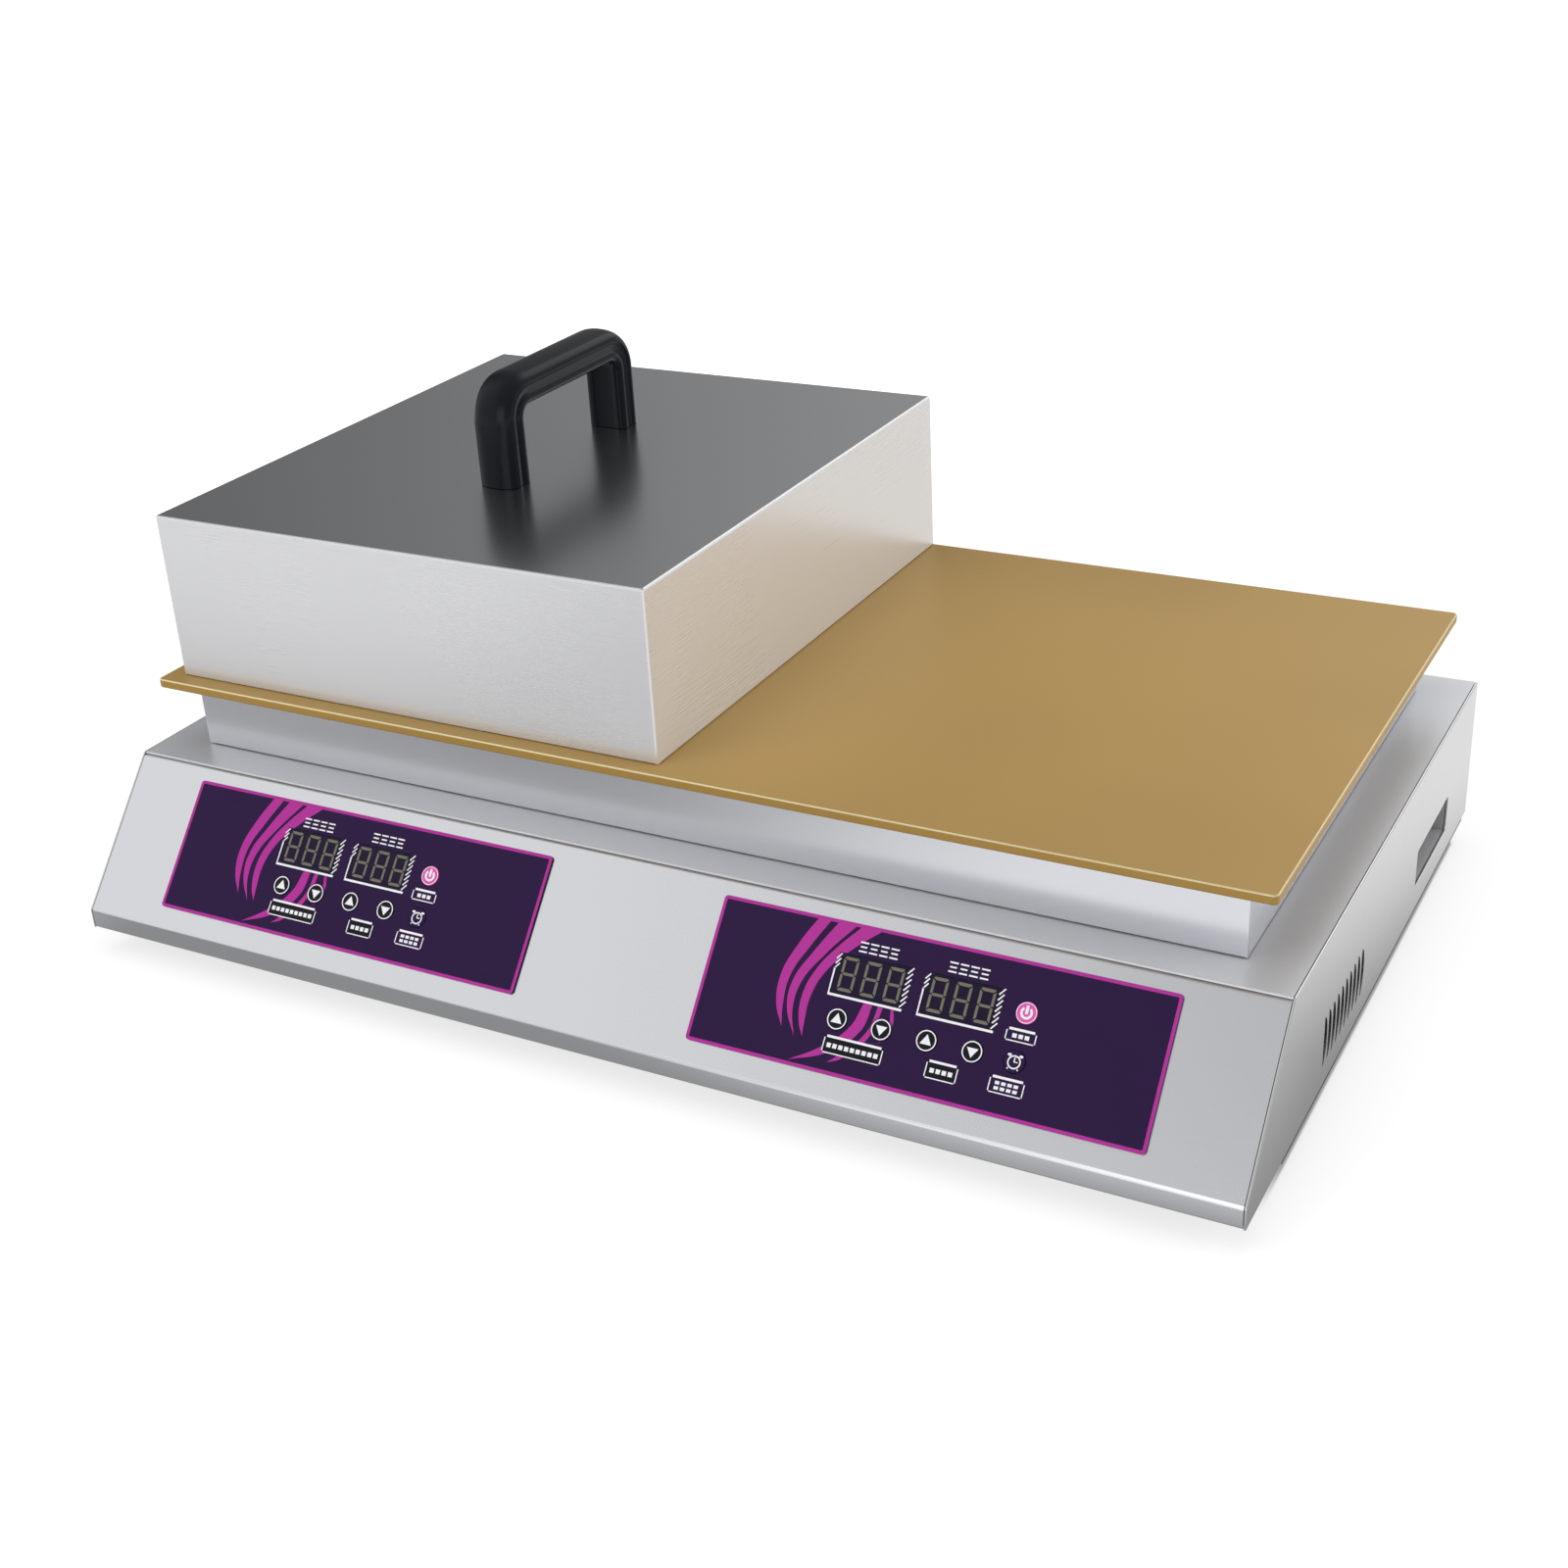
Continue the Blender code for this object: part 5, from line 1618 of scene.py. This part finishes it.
@dataclass
class ControlPanel:
    """One control panel: film, inks, display windows with unlit digits, and six keys."""

    name: str
    slope: Matrix
    film_face: float = 1.1 * MM
    film_thickness: float = 0.8 * MM
    ink: float = 0.06 * MM
    border: float = 1.7
    border_inset: float = 0.05
    heavy_line: float = 1.2
    line: float = 0.7
    caption_line: float = 0.8
    window_depth: float = 0.05 * MM
    window_corner: float = 0.4
    digits: int = 3
    digit_pitch: float = 12.1
    digit_middle: Point = (18.8, 9.7)
    key_crown: float = 1.5 * MM
    key_post: float = 1.8 * MM
    key_collar: float = 1.1 * MM
    collar_thickness: float = 0.8 * MM
    layout: PanelLayout = field(init=False)

    def __post_init__(self) -> None:
        """Lay out the panel's side."""
        self.layout = PanelLayout(self.name)

    def build(self) -> None:
        """Build and dress the whole panel."""
        self.film()
        self.prints()
        for kind in self.layout.displays:
            self.display(kind)
        for kind, place in self.layout.keys.items():
            self.key(kind, place)

    def sheet(self, name: str, outlines: Sequence[Outline], low: float, high: float) -> Workpiece:
        """Cut a flat piece that lies on the fascia's slope.

        Args:
            name: the piece's name without the panel's.
            outlines: its shape, in panel millimetres.
            low: how high its lower face is above the slope.
            high: how high its upper face is.

        Returns:
            The piece.
        """
        return Workpiece.drawn(f"{self.name}_{name}", self.layout.moved(*outlines), low, high, self.slope)

    def film(self) -> None:
        """Cut the overlay film, with its windows and key holes."""
        outer = bar((0, 0), (self.layout.width, self.layout.height), self.layout.corner)
        outlines = [outer, *self.layout.openings()]
        piece = self.sheet("overlay_film", outlines, self.film_face - self.film_thickness, self.film_face)
        piece.paint(FILM).dress("base", "overlay_print", f"{self.name}_control_overlay")

    def prints(self) -> None:
        """Print the border, the stripes, the dark ground of the labels on them, and the white marks."""
        layout, edge = self.layout, self.border_inset
        border = [
            bar((inset, inset), (layout.width - inset, layout.height - inset), corner)
            for inset, corner in ((edge, layout.corner), (edge + self.border, layout.corner / 3))
        ]
        grounds = [bar(label.low, label.high, 1) for label in layout.labels if label.on_stripes]
        for name, outlines, proud, finish in (
            ("panel_border", border, 0.6, MAGENTA),
            ("panel_stripes", [stripe.outline() for stripe in STRIPES], 0.5, MAGENTA),
            ("label_ground", grounds, 0.8, BLACK_INK),
            ("white_print", self.white_marks(), 1, WHITE_INK),
        ):
            piece = self.sheet(name, outlines, self.film_face - self.ink, self.film_face + self.ink * proud)
            piece.paint(finish)
            if name == "panel_stripes":
                piece.cut(self.sheet("opening_cutter", layout.openings(), 0, 2 * self.film_face))
            piece.dress("base", "overlay_print")

    def white_marks(self) -> list[Outline]:
        """Draw the frames round displays and labels, and plain strokes in the place of captions.

        Returns:
            The outlines, in panel millimetres.
        """
        found: list[Outline] = []
        for (left, top), (right, bottom) in self.layout.displays.values():
            under, beside = bottom + 0.75, left - 0.95
            found.append(stroke((left - 0.6, under), (right + 0.2, under), self.heavy_line))
            found.append(stroke((beside, bottom + 1.3), (beside, top + 7.5), self.line))
            # Slanted ticks down the left edge, above the plain line, and down the whole right edge
            for y in spread(top + 4, 3, 2.4):
                found.append(stroke((left - 1.3, y + 1.6), (left + 0.9, y - 1.3), self.line))
            for y in spread(top + 9.45, 7, 2.75):
                found.append(stroke((right - 1.4, y + 1.7), (right + 1.2, y - 1.5), self.line))
            # Four blocks of three strokes in the place of the caption above
            for x in spread(left + 19.6, 4, 5.4):
                for y, cut in ((8.6, 0), (10.8, 0.4), (13.0, 0)):
                    found.append(stroke((x - 2.7 + cut, y), (x + 1.6 - cut, y), self.caption_line))
        for label in self.layout.labels:
            found += label.outlines()
        return found

    def display(self, kind: str) -> None:
        """Set a display module with its unlit digits in its window.

        Args:
            kind: temperature or time.
        """
        (left, top), corner = self.layout.displays[kind]
        node = f"{self.name}_{kind}_display"
        face = self.film_face - self.window_depth
        window = bar((left, top), corner, self.window_corner)
        piece = self.sheet(f"{kind}_window", [window], depth_behind(node, self.slope), face)
        piece.paint(WINDOW).dress("base", "display_window", node)
        x, y = self.digit_middle
        segments: list[Outline] = []
        for place in spread(left + x, self.digits, self.digit_pitch):
            segments += digit((place, top + y))
        piece = self.sheet(f"{kind}_digits", segments, face - 0.05 * MM, face + 0.03 * MM)
        piece.paint(UNLIT_SEGMENT).dress("base", "display_window")

    def key(self, kind: str, place: Point) -> None:
        """Turn a key with a soft crown, and print its sign.

        Args:
            kind: which key it is.
            place: its middle, in panel millimetres.
        """
        left, top = self.layout.origin
        stand = self.slope @ Matrix.Translation((left + place[0] * MM, top - place[1] * MM, 0))
        node, sign = f"{self.name}_{kind}_key", Sign(kind.split("_")[-1])
        depth, crown, post = depth_behind(node, self.slope), self.key_crown, self.key_post
        radius = self.layout.key_radius * MM
        wide, collar = radius + self.key_collar, -SHEET - GAP
        profile = [
            (0, depth), (post, depth), (post, collar - self.collar_thickness),
            (wide, collar - self.collar_thickness), (wide, collar), (radius, collar),
            (radius, crown - 0.22 * MM), (radius - 0.07 * MM, crown - 0.08 * MM),
            (radius - 0.22 * MM, crown), (0, crown),
        ]
        cap = Workpiece.turned(f"{self.name}_{kind}_cap", profile, 40, stand)
        cap.paint({Sign.POWER: PINK_INK, Sign.TIMER: FILM}.get(sign, BLACK_INK))
        signs = [outline.metres() for outline in key_sign(sign)]
        marks = Workpiece.drawn("key_marks", signs, crown - self.ink, crown + self.ink * 0.5, stand)
        cap.join(marks.paint(WHITE_INK))
        cap.dress(f"{self.name}_{kind}", "key_print", node)


def digit(centre: Point, width: float = 8.2, height: float = 17, stem: float = 1.35) -> list[Outline]:
    """Return the seven segments of one digit.

    Args:
        centre: its middle.
        width: how wide it is.
        height: how tall it is.
        stem: how thick a segment is.

    Returns:
        One outline for each segment.
    """
    right, bottom, gap = width / 2, height / 2, 0.25
    tip, half = right - gap, stem / 2
    foot = [(tip - half, bottom), (tip, bottom - 0.45 * stem), (tip - stem, bottom - 1.15 * stem)]
    waist = [(tip - stem, half), (tip - half, 0), (tip - stem, -half)]
    upright = [
        (right, bottom - half - 2 * gap), (right, 2 * gap), (right - half, gap),
        (right - stem, gap + half), (right - stem, bottom - 1.3 * stem - 2 * gap),
    ]
    foot += [(-x, y) for x, y in reversed(foot)]
    waist += [(-x, y) for x, y in reversed(waist)]
    shapes = [foot, [(x, -y) for x, y in foot], waist]
    shapes += [[(x * across, y * down) for x, y in upright] for across in (-1, 1) for down in (-1, 1)]
    return [Outline(tuple((centre[0] + x, centre[1] + y) for x, y in shape)) for shape in shapes]


def key_sign(sign: Sign) -> list[Outline]:
    """Return a key's sign about its middle, in millimetres with y down.

    Args:
        sign: which sign it is.

    Returns:
        The outlines: an arrow or an on/off sign in a ring, or an alarm clock.
    """
    if sign is Sign.POWER:
        broken = arc((0, 0), (3.1, 3.1), -52, 232, 24) + arc((0, 0), (1.9, 1.9), 232, -52, 24)
        return [*ring((0, 0), 5.0, 0.35), Outline(tuple(broken)), bar((-0.7, -3.6), (0.7, 0.6), 0.3)]
    if sign is Sign.TIMER:
        bells = [Outline(tuple(arc((side * 2.85, -2.9), (1.05, 0.7), 0, 360, 10)[:-1])) for side in (-1, 1)]
        feet = [stroke((side * 2.2, 3.2), (side * 2.75, 3.8), 0.6) for side in (-1, 1)]
        hands = [stroke((0, -2), (0, 0.3), 0.55), stroke((0.3, 0.1), (1.8, 0.1), 0.5)]
        return [*ring((0, 0.25), 3.3, 0.7), *hands, *bells, *feet]
    base, tip = (1.9, -3.1) if sign is Sign.UP else (-1.7, 3.0)
    return [*ring((0, 0), 5.05, 0.6), Outline(((-2.9, base), (2.9, base), (0, tip)))]


# The lid


@dataclass
class Lid:
    """The lift-off lid: a folded steel box and its moulded bridge handle."""

    fold_radius: float = 1.6 * MM
    rim_radius: float = 0.5 * MM
    screw_hole: float = 2.8 * MM
    screw_depth: float = 14.3 * MM
    span: float = 117 * MM
    across: float = 25 * MM
    through: float = 19 * MM
    bend: float = 16 * MM
    bead: float = 3.9 * MM
    groove: float = 1.1 * MM
    waist: float = 3 * MM
    steps: int = 12

    def build(self) -> None:
        """Build and dress the box and the handle."""
        self.box()
        self.handle()

    def box(self) -> None:
        """Open a cube below, round its folds and give it a wall."""
        low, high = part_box("lid_shell")
        centre = middle("lid_shell")
        piece = Workpiece.block("lid_box", low, high)
        with piece.bench():
            piece.pick(Part.FACE, lambda at, way: way.z < -NEARLY)
            bpy.ops.mesh.delete(type="FACE")
        piece.bevel(lambda at, run: at.z > low.z + TINY, self.fold_radius, 5)
        piece.modify("SOLIDIFY", thickness=SHEET, offset=-1, use_even_offset=True)
        reach = (high - low) / 2 - Vector((TINY, TINY, 0))
        piece.bevel(
            lambda at, run: at.z < low.z + TINY
            and (abs(at.x - centre.x) > reach.x or abs(at.y - centre.y) > reach.y),
            self.rim_radius, 3,
        )
        self.drill(piece, high.z - SHEET - OVERRUN, high.z + OVERRUN)
        # Painted reflection: the side faces get the warmer, lighter steel.
        piece.paint(LID_WALL_STEEL).paint(LID_SIDE_PAINTED_REFLECTION, lambda at, way: abs(way.x) > 0.7)
        # Painted dark reflection: the top faces get the darker steel.
        piece.paint(LID_TOP_PAINTED_REFLECTION, lambda at, way: at.z > high.z - SHEET / 2 and way.z > 0.5)
        piece.dress("lid", "lid_steel", "lid_shell")

    def screws(self) -> list[Point]:
        """Return X and Y of the handle's front and rear screw."""
        centre = middle("lid_shell")
        return [(centre.x, centre.y + end * self.span / 2) for end in (-1, 1)]

    def drill(self, piece: Workpiece, low: float, high: float) -> None:
        """Drill both screw holes from one height to another."""
        holes = [disc(place, self.screw_hole) for place in self.screws()]
        piece.cut(Workpiece.drawn("screw_holes", holes, low, high))

    def section(self) -> Outline:
        """Return the handle's section, x across and y towards its outer side.

        It has a domed outer side, a groove on each flank, a round bead at each inner corner,
        and a flat inner side between them.

        Returns:
            The outline.
        """
        half, waist, deep, bead = self.across / 2, self.waist, self.through / 2, self.bead
        power = 2 / 2.2
        dome = []
        for x, y in arc((0, 0), (1, 1), 0, 180, 22):
            across = math.copysign(abs(x) ** power, x) * half
            dome.append((across, waist + abs(y) ** power * (deep - waist)))
        left = arc((-half, waist - self.groove), (self.groove, self.groove), 90, -50, 5)[1:]
        left += arc((bead - half, bead - deep), (bead, bead), 130, 300, 10)
        left.append((1.8 * bead - half, 0.9 * MM - deep))
        right = [(-x, y) for x, y in reversed(left)]
        return Outline((*dome, *left, *right))

    def handle(self) -> None:
        """Draw the section, then extrude and spin it from foot to foot."""
        low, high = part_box("lid_handle")
        (x, front), (_, rear) = self.screws()
        piece = Workpiece.traced("lid_bridge_handle", [self.section()])
        piece.stand(Matrix.Translation((x, front, low.z)) @ Matrix.Rotation(math.pi, 4, "Z"))
        rise = high.z - low.z - self.through / 2 - self.bend
        turn_z = low.z + rise
        with piece.bench():
            piece.extrude((0, 0, rise))
            self.turn((x, front + self.bend, turn_z))
            piece.extrude((0, rear - front - 2 * self.bend, 0))
            self.turn((x, rear - self.bend, turn_z))
            piece.extrude((0, 0, -rise))
            for end in (front, rear):
                piece.pick(
                    Part.EDGE, lambda at, run: at.z < low.z + TINY and abs(at.y - end) < self.through
                )
                bpy.ops.mesh.edge_face_add()
        piece.weld()
        self.drill(piece, low.z - OVERRUN, low.z + self.screw_depth)
        piece.paint(HANDLE_BLACK).dress("lid", "handle_plastic", "lid_handle", flats=False)

    def turn(self, centre: Sequence[float]) -> None:
        """Spin the picked section a quarter round an axis along X."""
        bpy.ops.mesh.spin(steps=self.steps, angle=math.pi / 2, center=centre, axis=(1, 0, 0))


# The studio


@dataclass(frozen=True)
class Softbox:
    """A square area lamp, which lights matt surfaces or, as a glint, is mirrored in glossy ones."""

    name: str
    place: tuple[float, float, float]
    size: float
    power: float
    glint: bool = False
    target: tuple[float, float, float] = (0, 0, 0.12)

    def light(self) -> None:
        """Hang the lamp, turned to the machine."""
        aim = Vector(self.target) - Vector(self.place)
        turn = aim.to_track_quat("-Z", "Y").to_euler()
        bpy.ops.object.light_add(type="AREA", location=self.place, rotation=turn)
        lamp = bpy.context.object
        lamp.name = self.name
        lamp.data.size = self.size
        lamp.data.energy = self.power
        lamp.visible_diffuse = not self.glint
        lamp.visible_glossy = self.glint
        LOG.info("%s lights the machine", self.name)


@dataclass
class Studio:
    """Floor, surroundings, lamps and camera."""

    floor_size: float = 14
    floor_drop: float = 0.4 * MM
    floor_tint: Colour = (0.65, 0.65, 0.655)
    floor_roughness: float = 0.7
    floor_white: float = 1.45
    daylight: float = 0.55
    clear_from: float = 0.55
    clear_at: float = 1.1
    lens: float = 50.14
    sensor: float = 36
    camera_place: tuple[float, float, float] = (0.5448, -0.9828, 0.6280)
    camera_right: tuple[float, float, float] = (0.883158, 0.466270, -0.051236)
    camera_up: tuple[float, float, float] = (-0.168474, 0.417237, 0.893045)
    camera_back: tuple[float, float, float] = (0.437778, -0.780067, 0.447041)
    lamps: tuple[Softbox, ...] = (
        Softbox("key_lamp", (-1.3, -1.9, 2.7), 1.6, 27),
        Softbox("top_lamp", (0.1, -0.3, 3.0), 2.2, 26),
        Softbox("right_lamp", (2.4, 0.9, 1.3), 1.4, 22),
        Softbox("front_glint", (0.3, -2.9, 0.85), 1.8, 12, glint=True),
        Softbox("rear_glint", (0.5, 2.5, 2.05), 2.0, 11, glint=True),
    )

    def build(self) -> None:
        """Set everything up."""
        self.floor()
        self.surroundings()
        for lamp in self.lamps:
            lamp.light()
        self.camera()
        bpy.context.scene.view_settings.view_transform = "Standard"

    def floor(self) -> None:
        """Lay a white floor that keeps a soft shadow and clears to plain white further out."""
        Workpiece.clear()
        bpy.ops.mesh.primitive_plane_add(size=self.floor_size, location=(0, 0, -self.floor_drop))
        thing = bpy.context.object
        thing.name = "studio_floor"
        made = bpy.data.materials.new("white_floor")
        net = Net(made)
        net.supply("Principled BSDF", {"Base Color": self.floor_tint, "Roughness": self.floor_roughness})
        here = net.node("ShaderNodeTexCoord", output="Object")
        away = net.node("ShaderNodeVectorMath", {"operation": "LENGTH"}, {0: here}, "Value")
        x, y, _ = net.apart(here)
        camera, mirror, through = net.rays()
        clear = net.clamped(away, self.clear_from, self.clear_at)
        under = self.underneath(net, x, y)
        shaded = Wire(net, net.tree.nodes["Principled BSDF"].outputs["BSDF"])
        seen = net.blend((0.5 + clear * 0.5) * (1 - under * 0.85), shaded, net.glow(self.floor_white))
        shown = net.blend(net.larger(camera, through), shaded, seen)
        shown = net.blend(mirror, shown, net.glow(self.mirrored_floor(net, x, y)))
        net.supply("Material Output", {"Surface": shown})
        thing.data.materials.append(made)
        thing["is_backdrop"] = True

    def underneath(self, net: Net, x: Wire, y: Wire) -> Wire:
        """Return 1 well under the machine, where the floor's shadow is left as dark as it falls.

        Args:
            net: the floor's node tree.
            x: the place across.
            y: the place in depth.

        Returns:
            A value from 0 to 1.
        """
        low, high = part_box("right_side_panel")
        along = net.clamped(y, low.y + 0.03, low.y + 0.08) * net.clamped(high.y - y, 0.008, 0.014)
        return net.clamped(high.x - abs(x), 0.003, 0.0046) * along

    def mirrored_floor(self, net: Net, x: Wire, y: Wire) -> Wire:
        """Work out how polished metal sees the floor: dim close to the machine, a painted shadow there, and
        white further out.

        Args:
            net: the floor's node tree.
            x: the place across.
            y: the place in depth.

        Returns:
            The floor's brightness.
        """
        low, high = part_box("right_side_panel")
        aside = net.larger(abs(x) - high.x, 0)
        ahead = net.larger(low.y - y, 0)
        behind = net.larger(y + 0.05, 0)
        # In front it whitens over the first quarter of a metre, and stays dimmer on the left
        front = net.clamped(ahead * 1.6 + x * 0.8, 0, 0.2) * net.clamped(ahead, 0, 0.1)
        front = net.larger(front, net.clamped(ahead, 0.15, 0.27))
        front = front * (1.1 - net.clamped(x, -0.46, -0.26) * 0.8 + net.clamped(x, -0.2, 0.15) * 1.1)
        # At the sides it whitens sooner towards the rear, and dims again far behind
        sides = net.clamped(aside * 1.5 + behind * 0.35, -0.01, 0.17) * net.clamped(y, low.y - 0.08, low.y)
        sides = sides * (1 - net.clamped(behind, 0.45, 0.75) * 0.35)
        return 0.32 + net.larger(front, sides) * 0.62

    def surroundings(self) -> None:
        """Make a room that is white to the camera, and bright in front and dim behind to polished metal."""
        world = bpy.data.worlds.new("studio_room")
        bpy.context.scene.world = world
        net = Net(world)
        camera, mirror, through = net.rays()
        x, y, z = net.apart(net.node("ShaderNodeTexCoord", output="Generated"))
        behind = net.clamped(y, -0.1, 0.45) * net.clamped(z, -0.15, 0.05)
        # The rear wall darkens to the left, and the front wall to the right
        rear = net.node("ShaderNodeClamp", {}, {"Value": 0.6 + x * 0.65, "Min": 0.12, "Max": 0.6})
        front = 0.88 - net.clamped(x, -0.48, -0.2) * 0.38
        room = rear * behind + (1 - behind) * front
        white = net.larger(camera, through)
        strength = white + (1 - white) * (mirror * room + (1 - mirror) * self.daylight)
        net.supply("Background", {"Color": (1, 1, 1), "Strength": strength})

    def camera(self) -> None:
        """Stand the camera where the photograph was taken from."""
        axes = Matrix((self.camera_right, self.camera_up, self.camera_back)).transposed()
        bpy.ops.object.camera_add()
        camera = bpy.context.object
        camera.name = "photo_camera"
        camera.matrix_world = Matrix.Translation(self.camera_place) @ axes.to_4x4()
        camera.data.lens = self.lens
        camera.data.sensor_width = self.sensor
        bpy.context.scene.camera = camera


# Solids that stay as they are

CARRIED_OVER: dict[Finish, tuple[str, ...]] = {
    # The base pan keeps its shape in a near-black sheet: painted shade.
    PAN_PAINTED_SHADE: ("base_pan",),
    GALVANISED: ("heater_tray",),
    NYLON: ("gland_nut",),
    PALE_PLASTIC: ("terminal_block",),
    PLATED: ("handle_screw_front", "handle_screw_rear"),
}
CARRIED_OVER_PAIRS: dict[Finish, tuple[str, ...]] = {
    # The grip pocket's darkened steel is painted shade.
    GRIP_SHADE_STEEL: ("grip_pocket",),
    GALVANISED: ("heater_clamp",),
    PLATED: ("clamp_bolt", "temperature_probe"),
    PALE_PLASTIC: ("limit_thermostat", "solid_state_relay"),
    SHEATH: ("heating_element",),
    BOARD: ("control_board",),
}


def dress_solids() -> None:
    """Give every solid that stays in sight its finish."""
    single = [(node, finish) for finish, nodes in CARRIED_OVER.items() for node in nodes]
    pairs = [(kind, finish) for finish, kinds in CARRIED_OVER_PAIRS.items() for kind in kinds]
    for node, finish in single + [(f"{side}_{kind}", finish) for kind, finish in pairs for side in SIDES]:
        finish.coat(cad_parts[node])
        LOG.info("%s keeps its shape in %s", node, finish.name)


def corners() -> list[list[float]]:
    """Return the whole object's lowest and highest corner as plain lists."""
    return [list(corner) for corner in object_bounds()]


def main() -> None:
    """Dress the machine and light it."""
    logging.basicConfig(level=logging.INFO, format="%(name)s: %(message)s")
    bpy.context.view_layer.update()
    housing = Housing()
    housing.build()
    Gland().build()
    Griddle().build()
    for name in SIDES:
        ControlPanel(name, housing.slope).build()
    Lid().build()
    dress_solids()
    Studio().build()


if __name__ == "__main__":
    main()
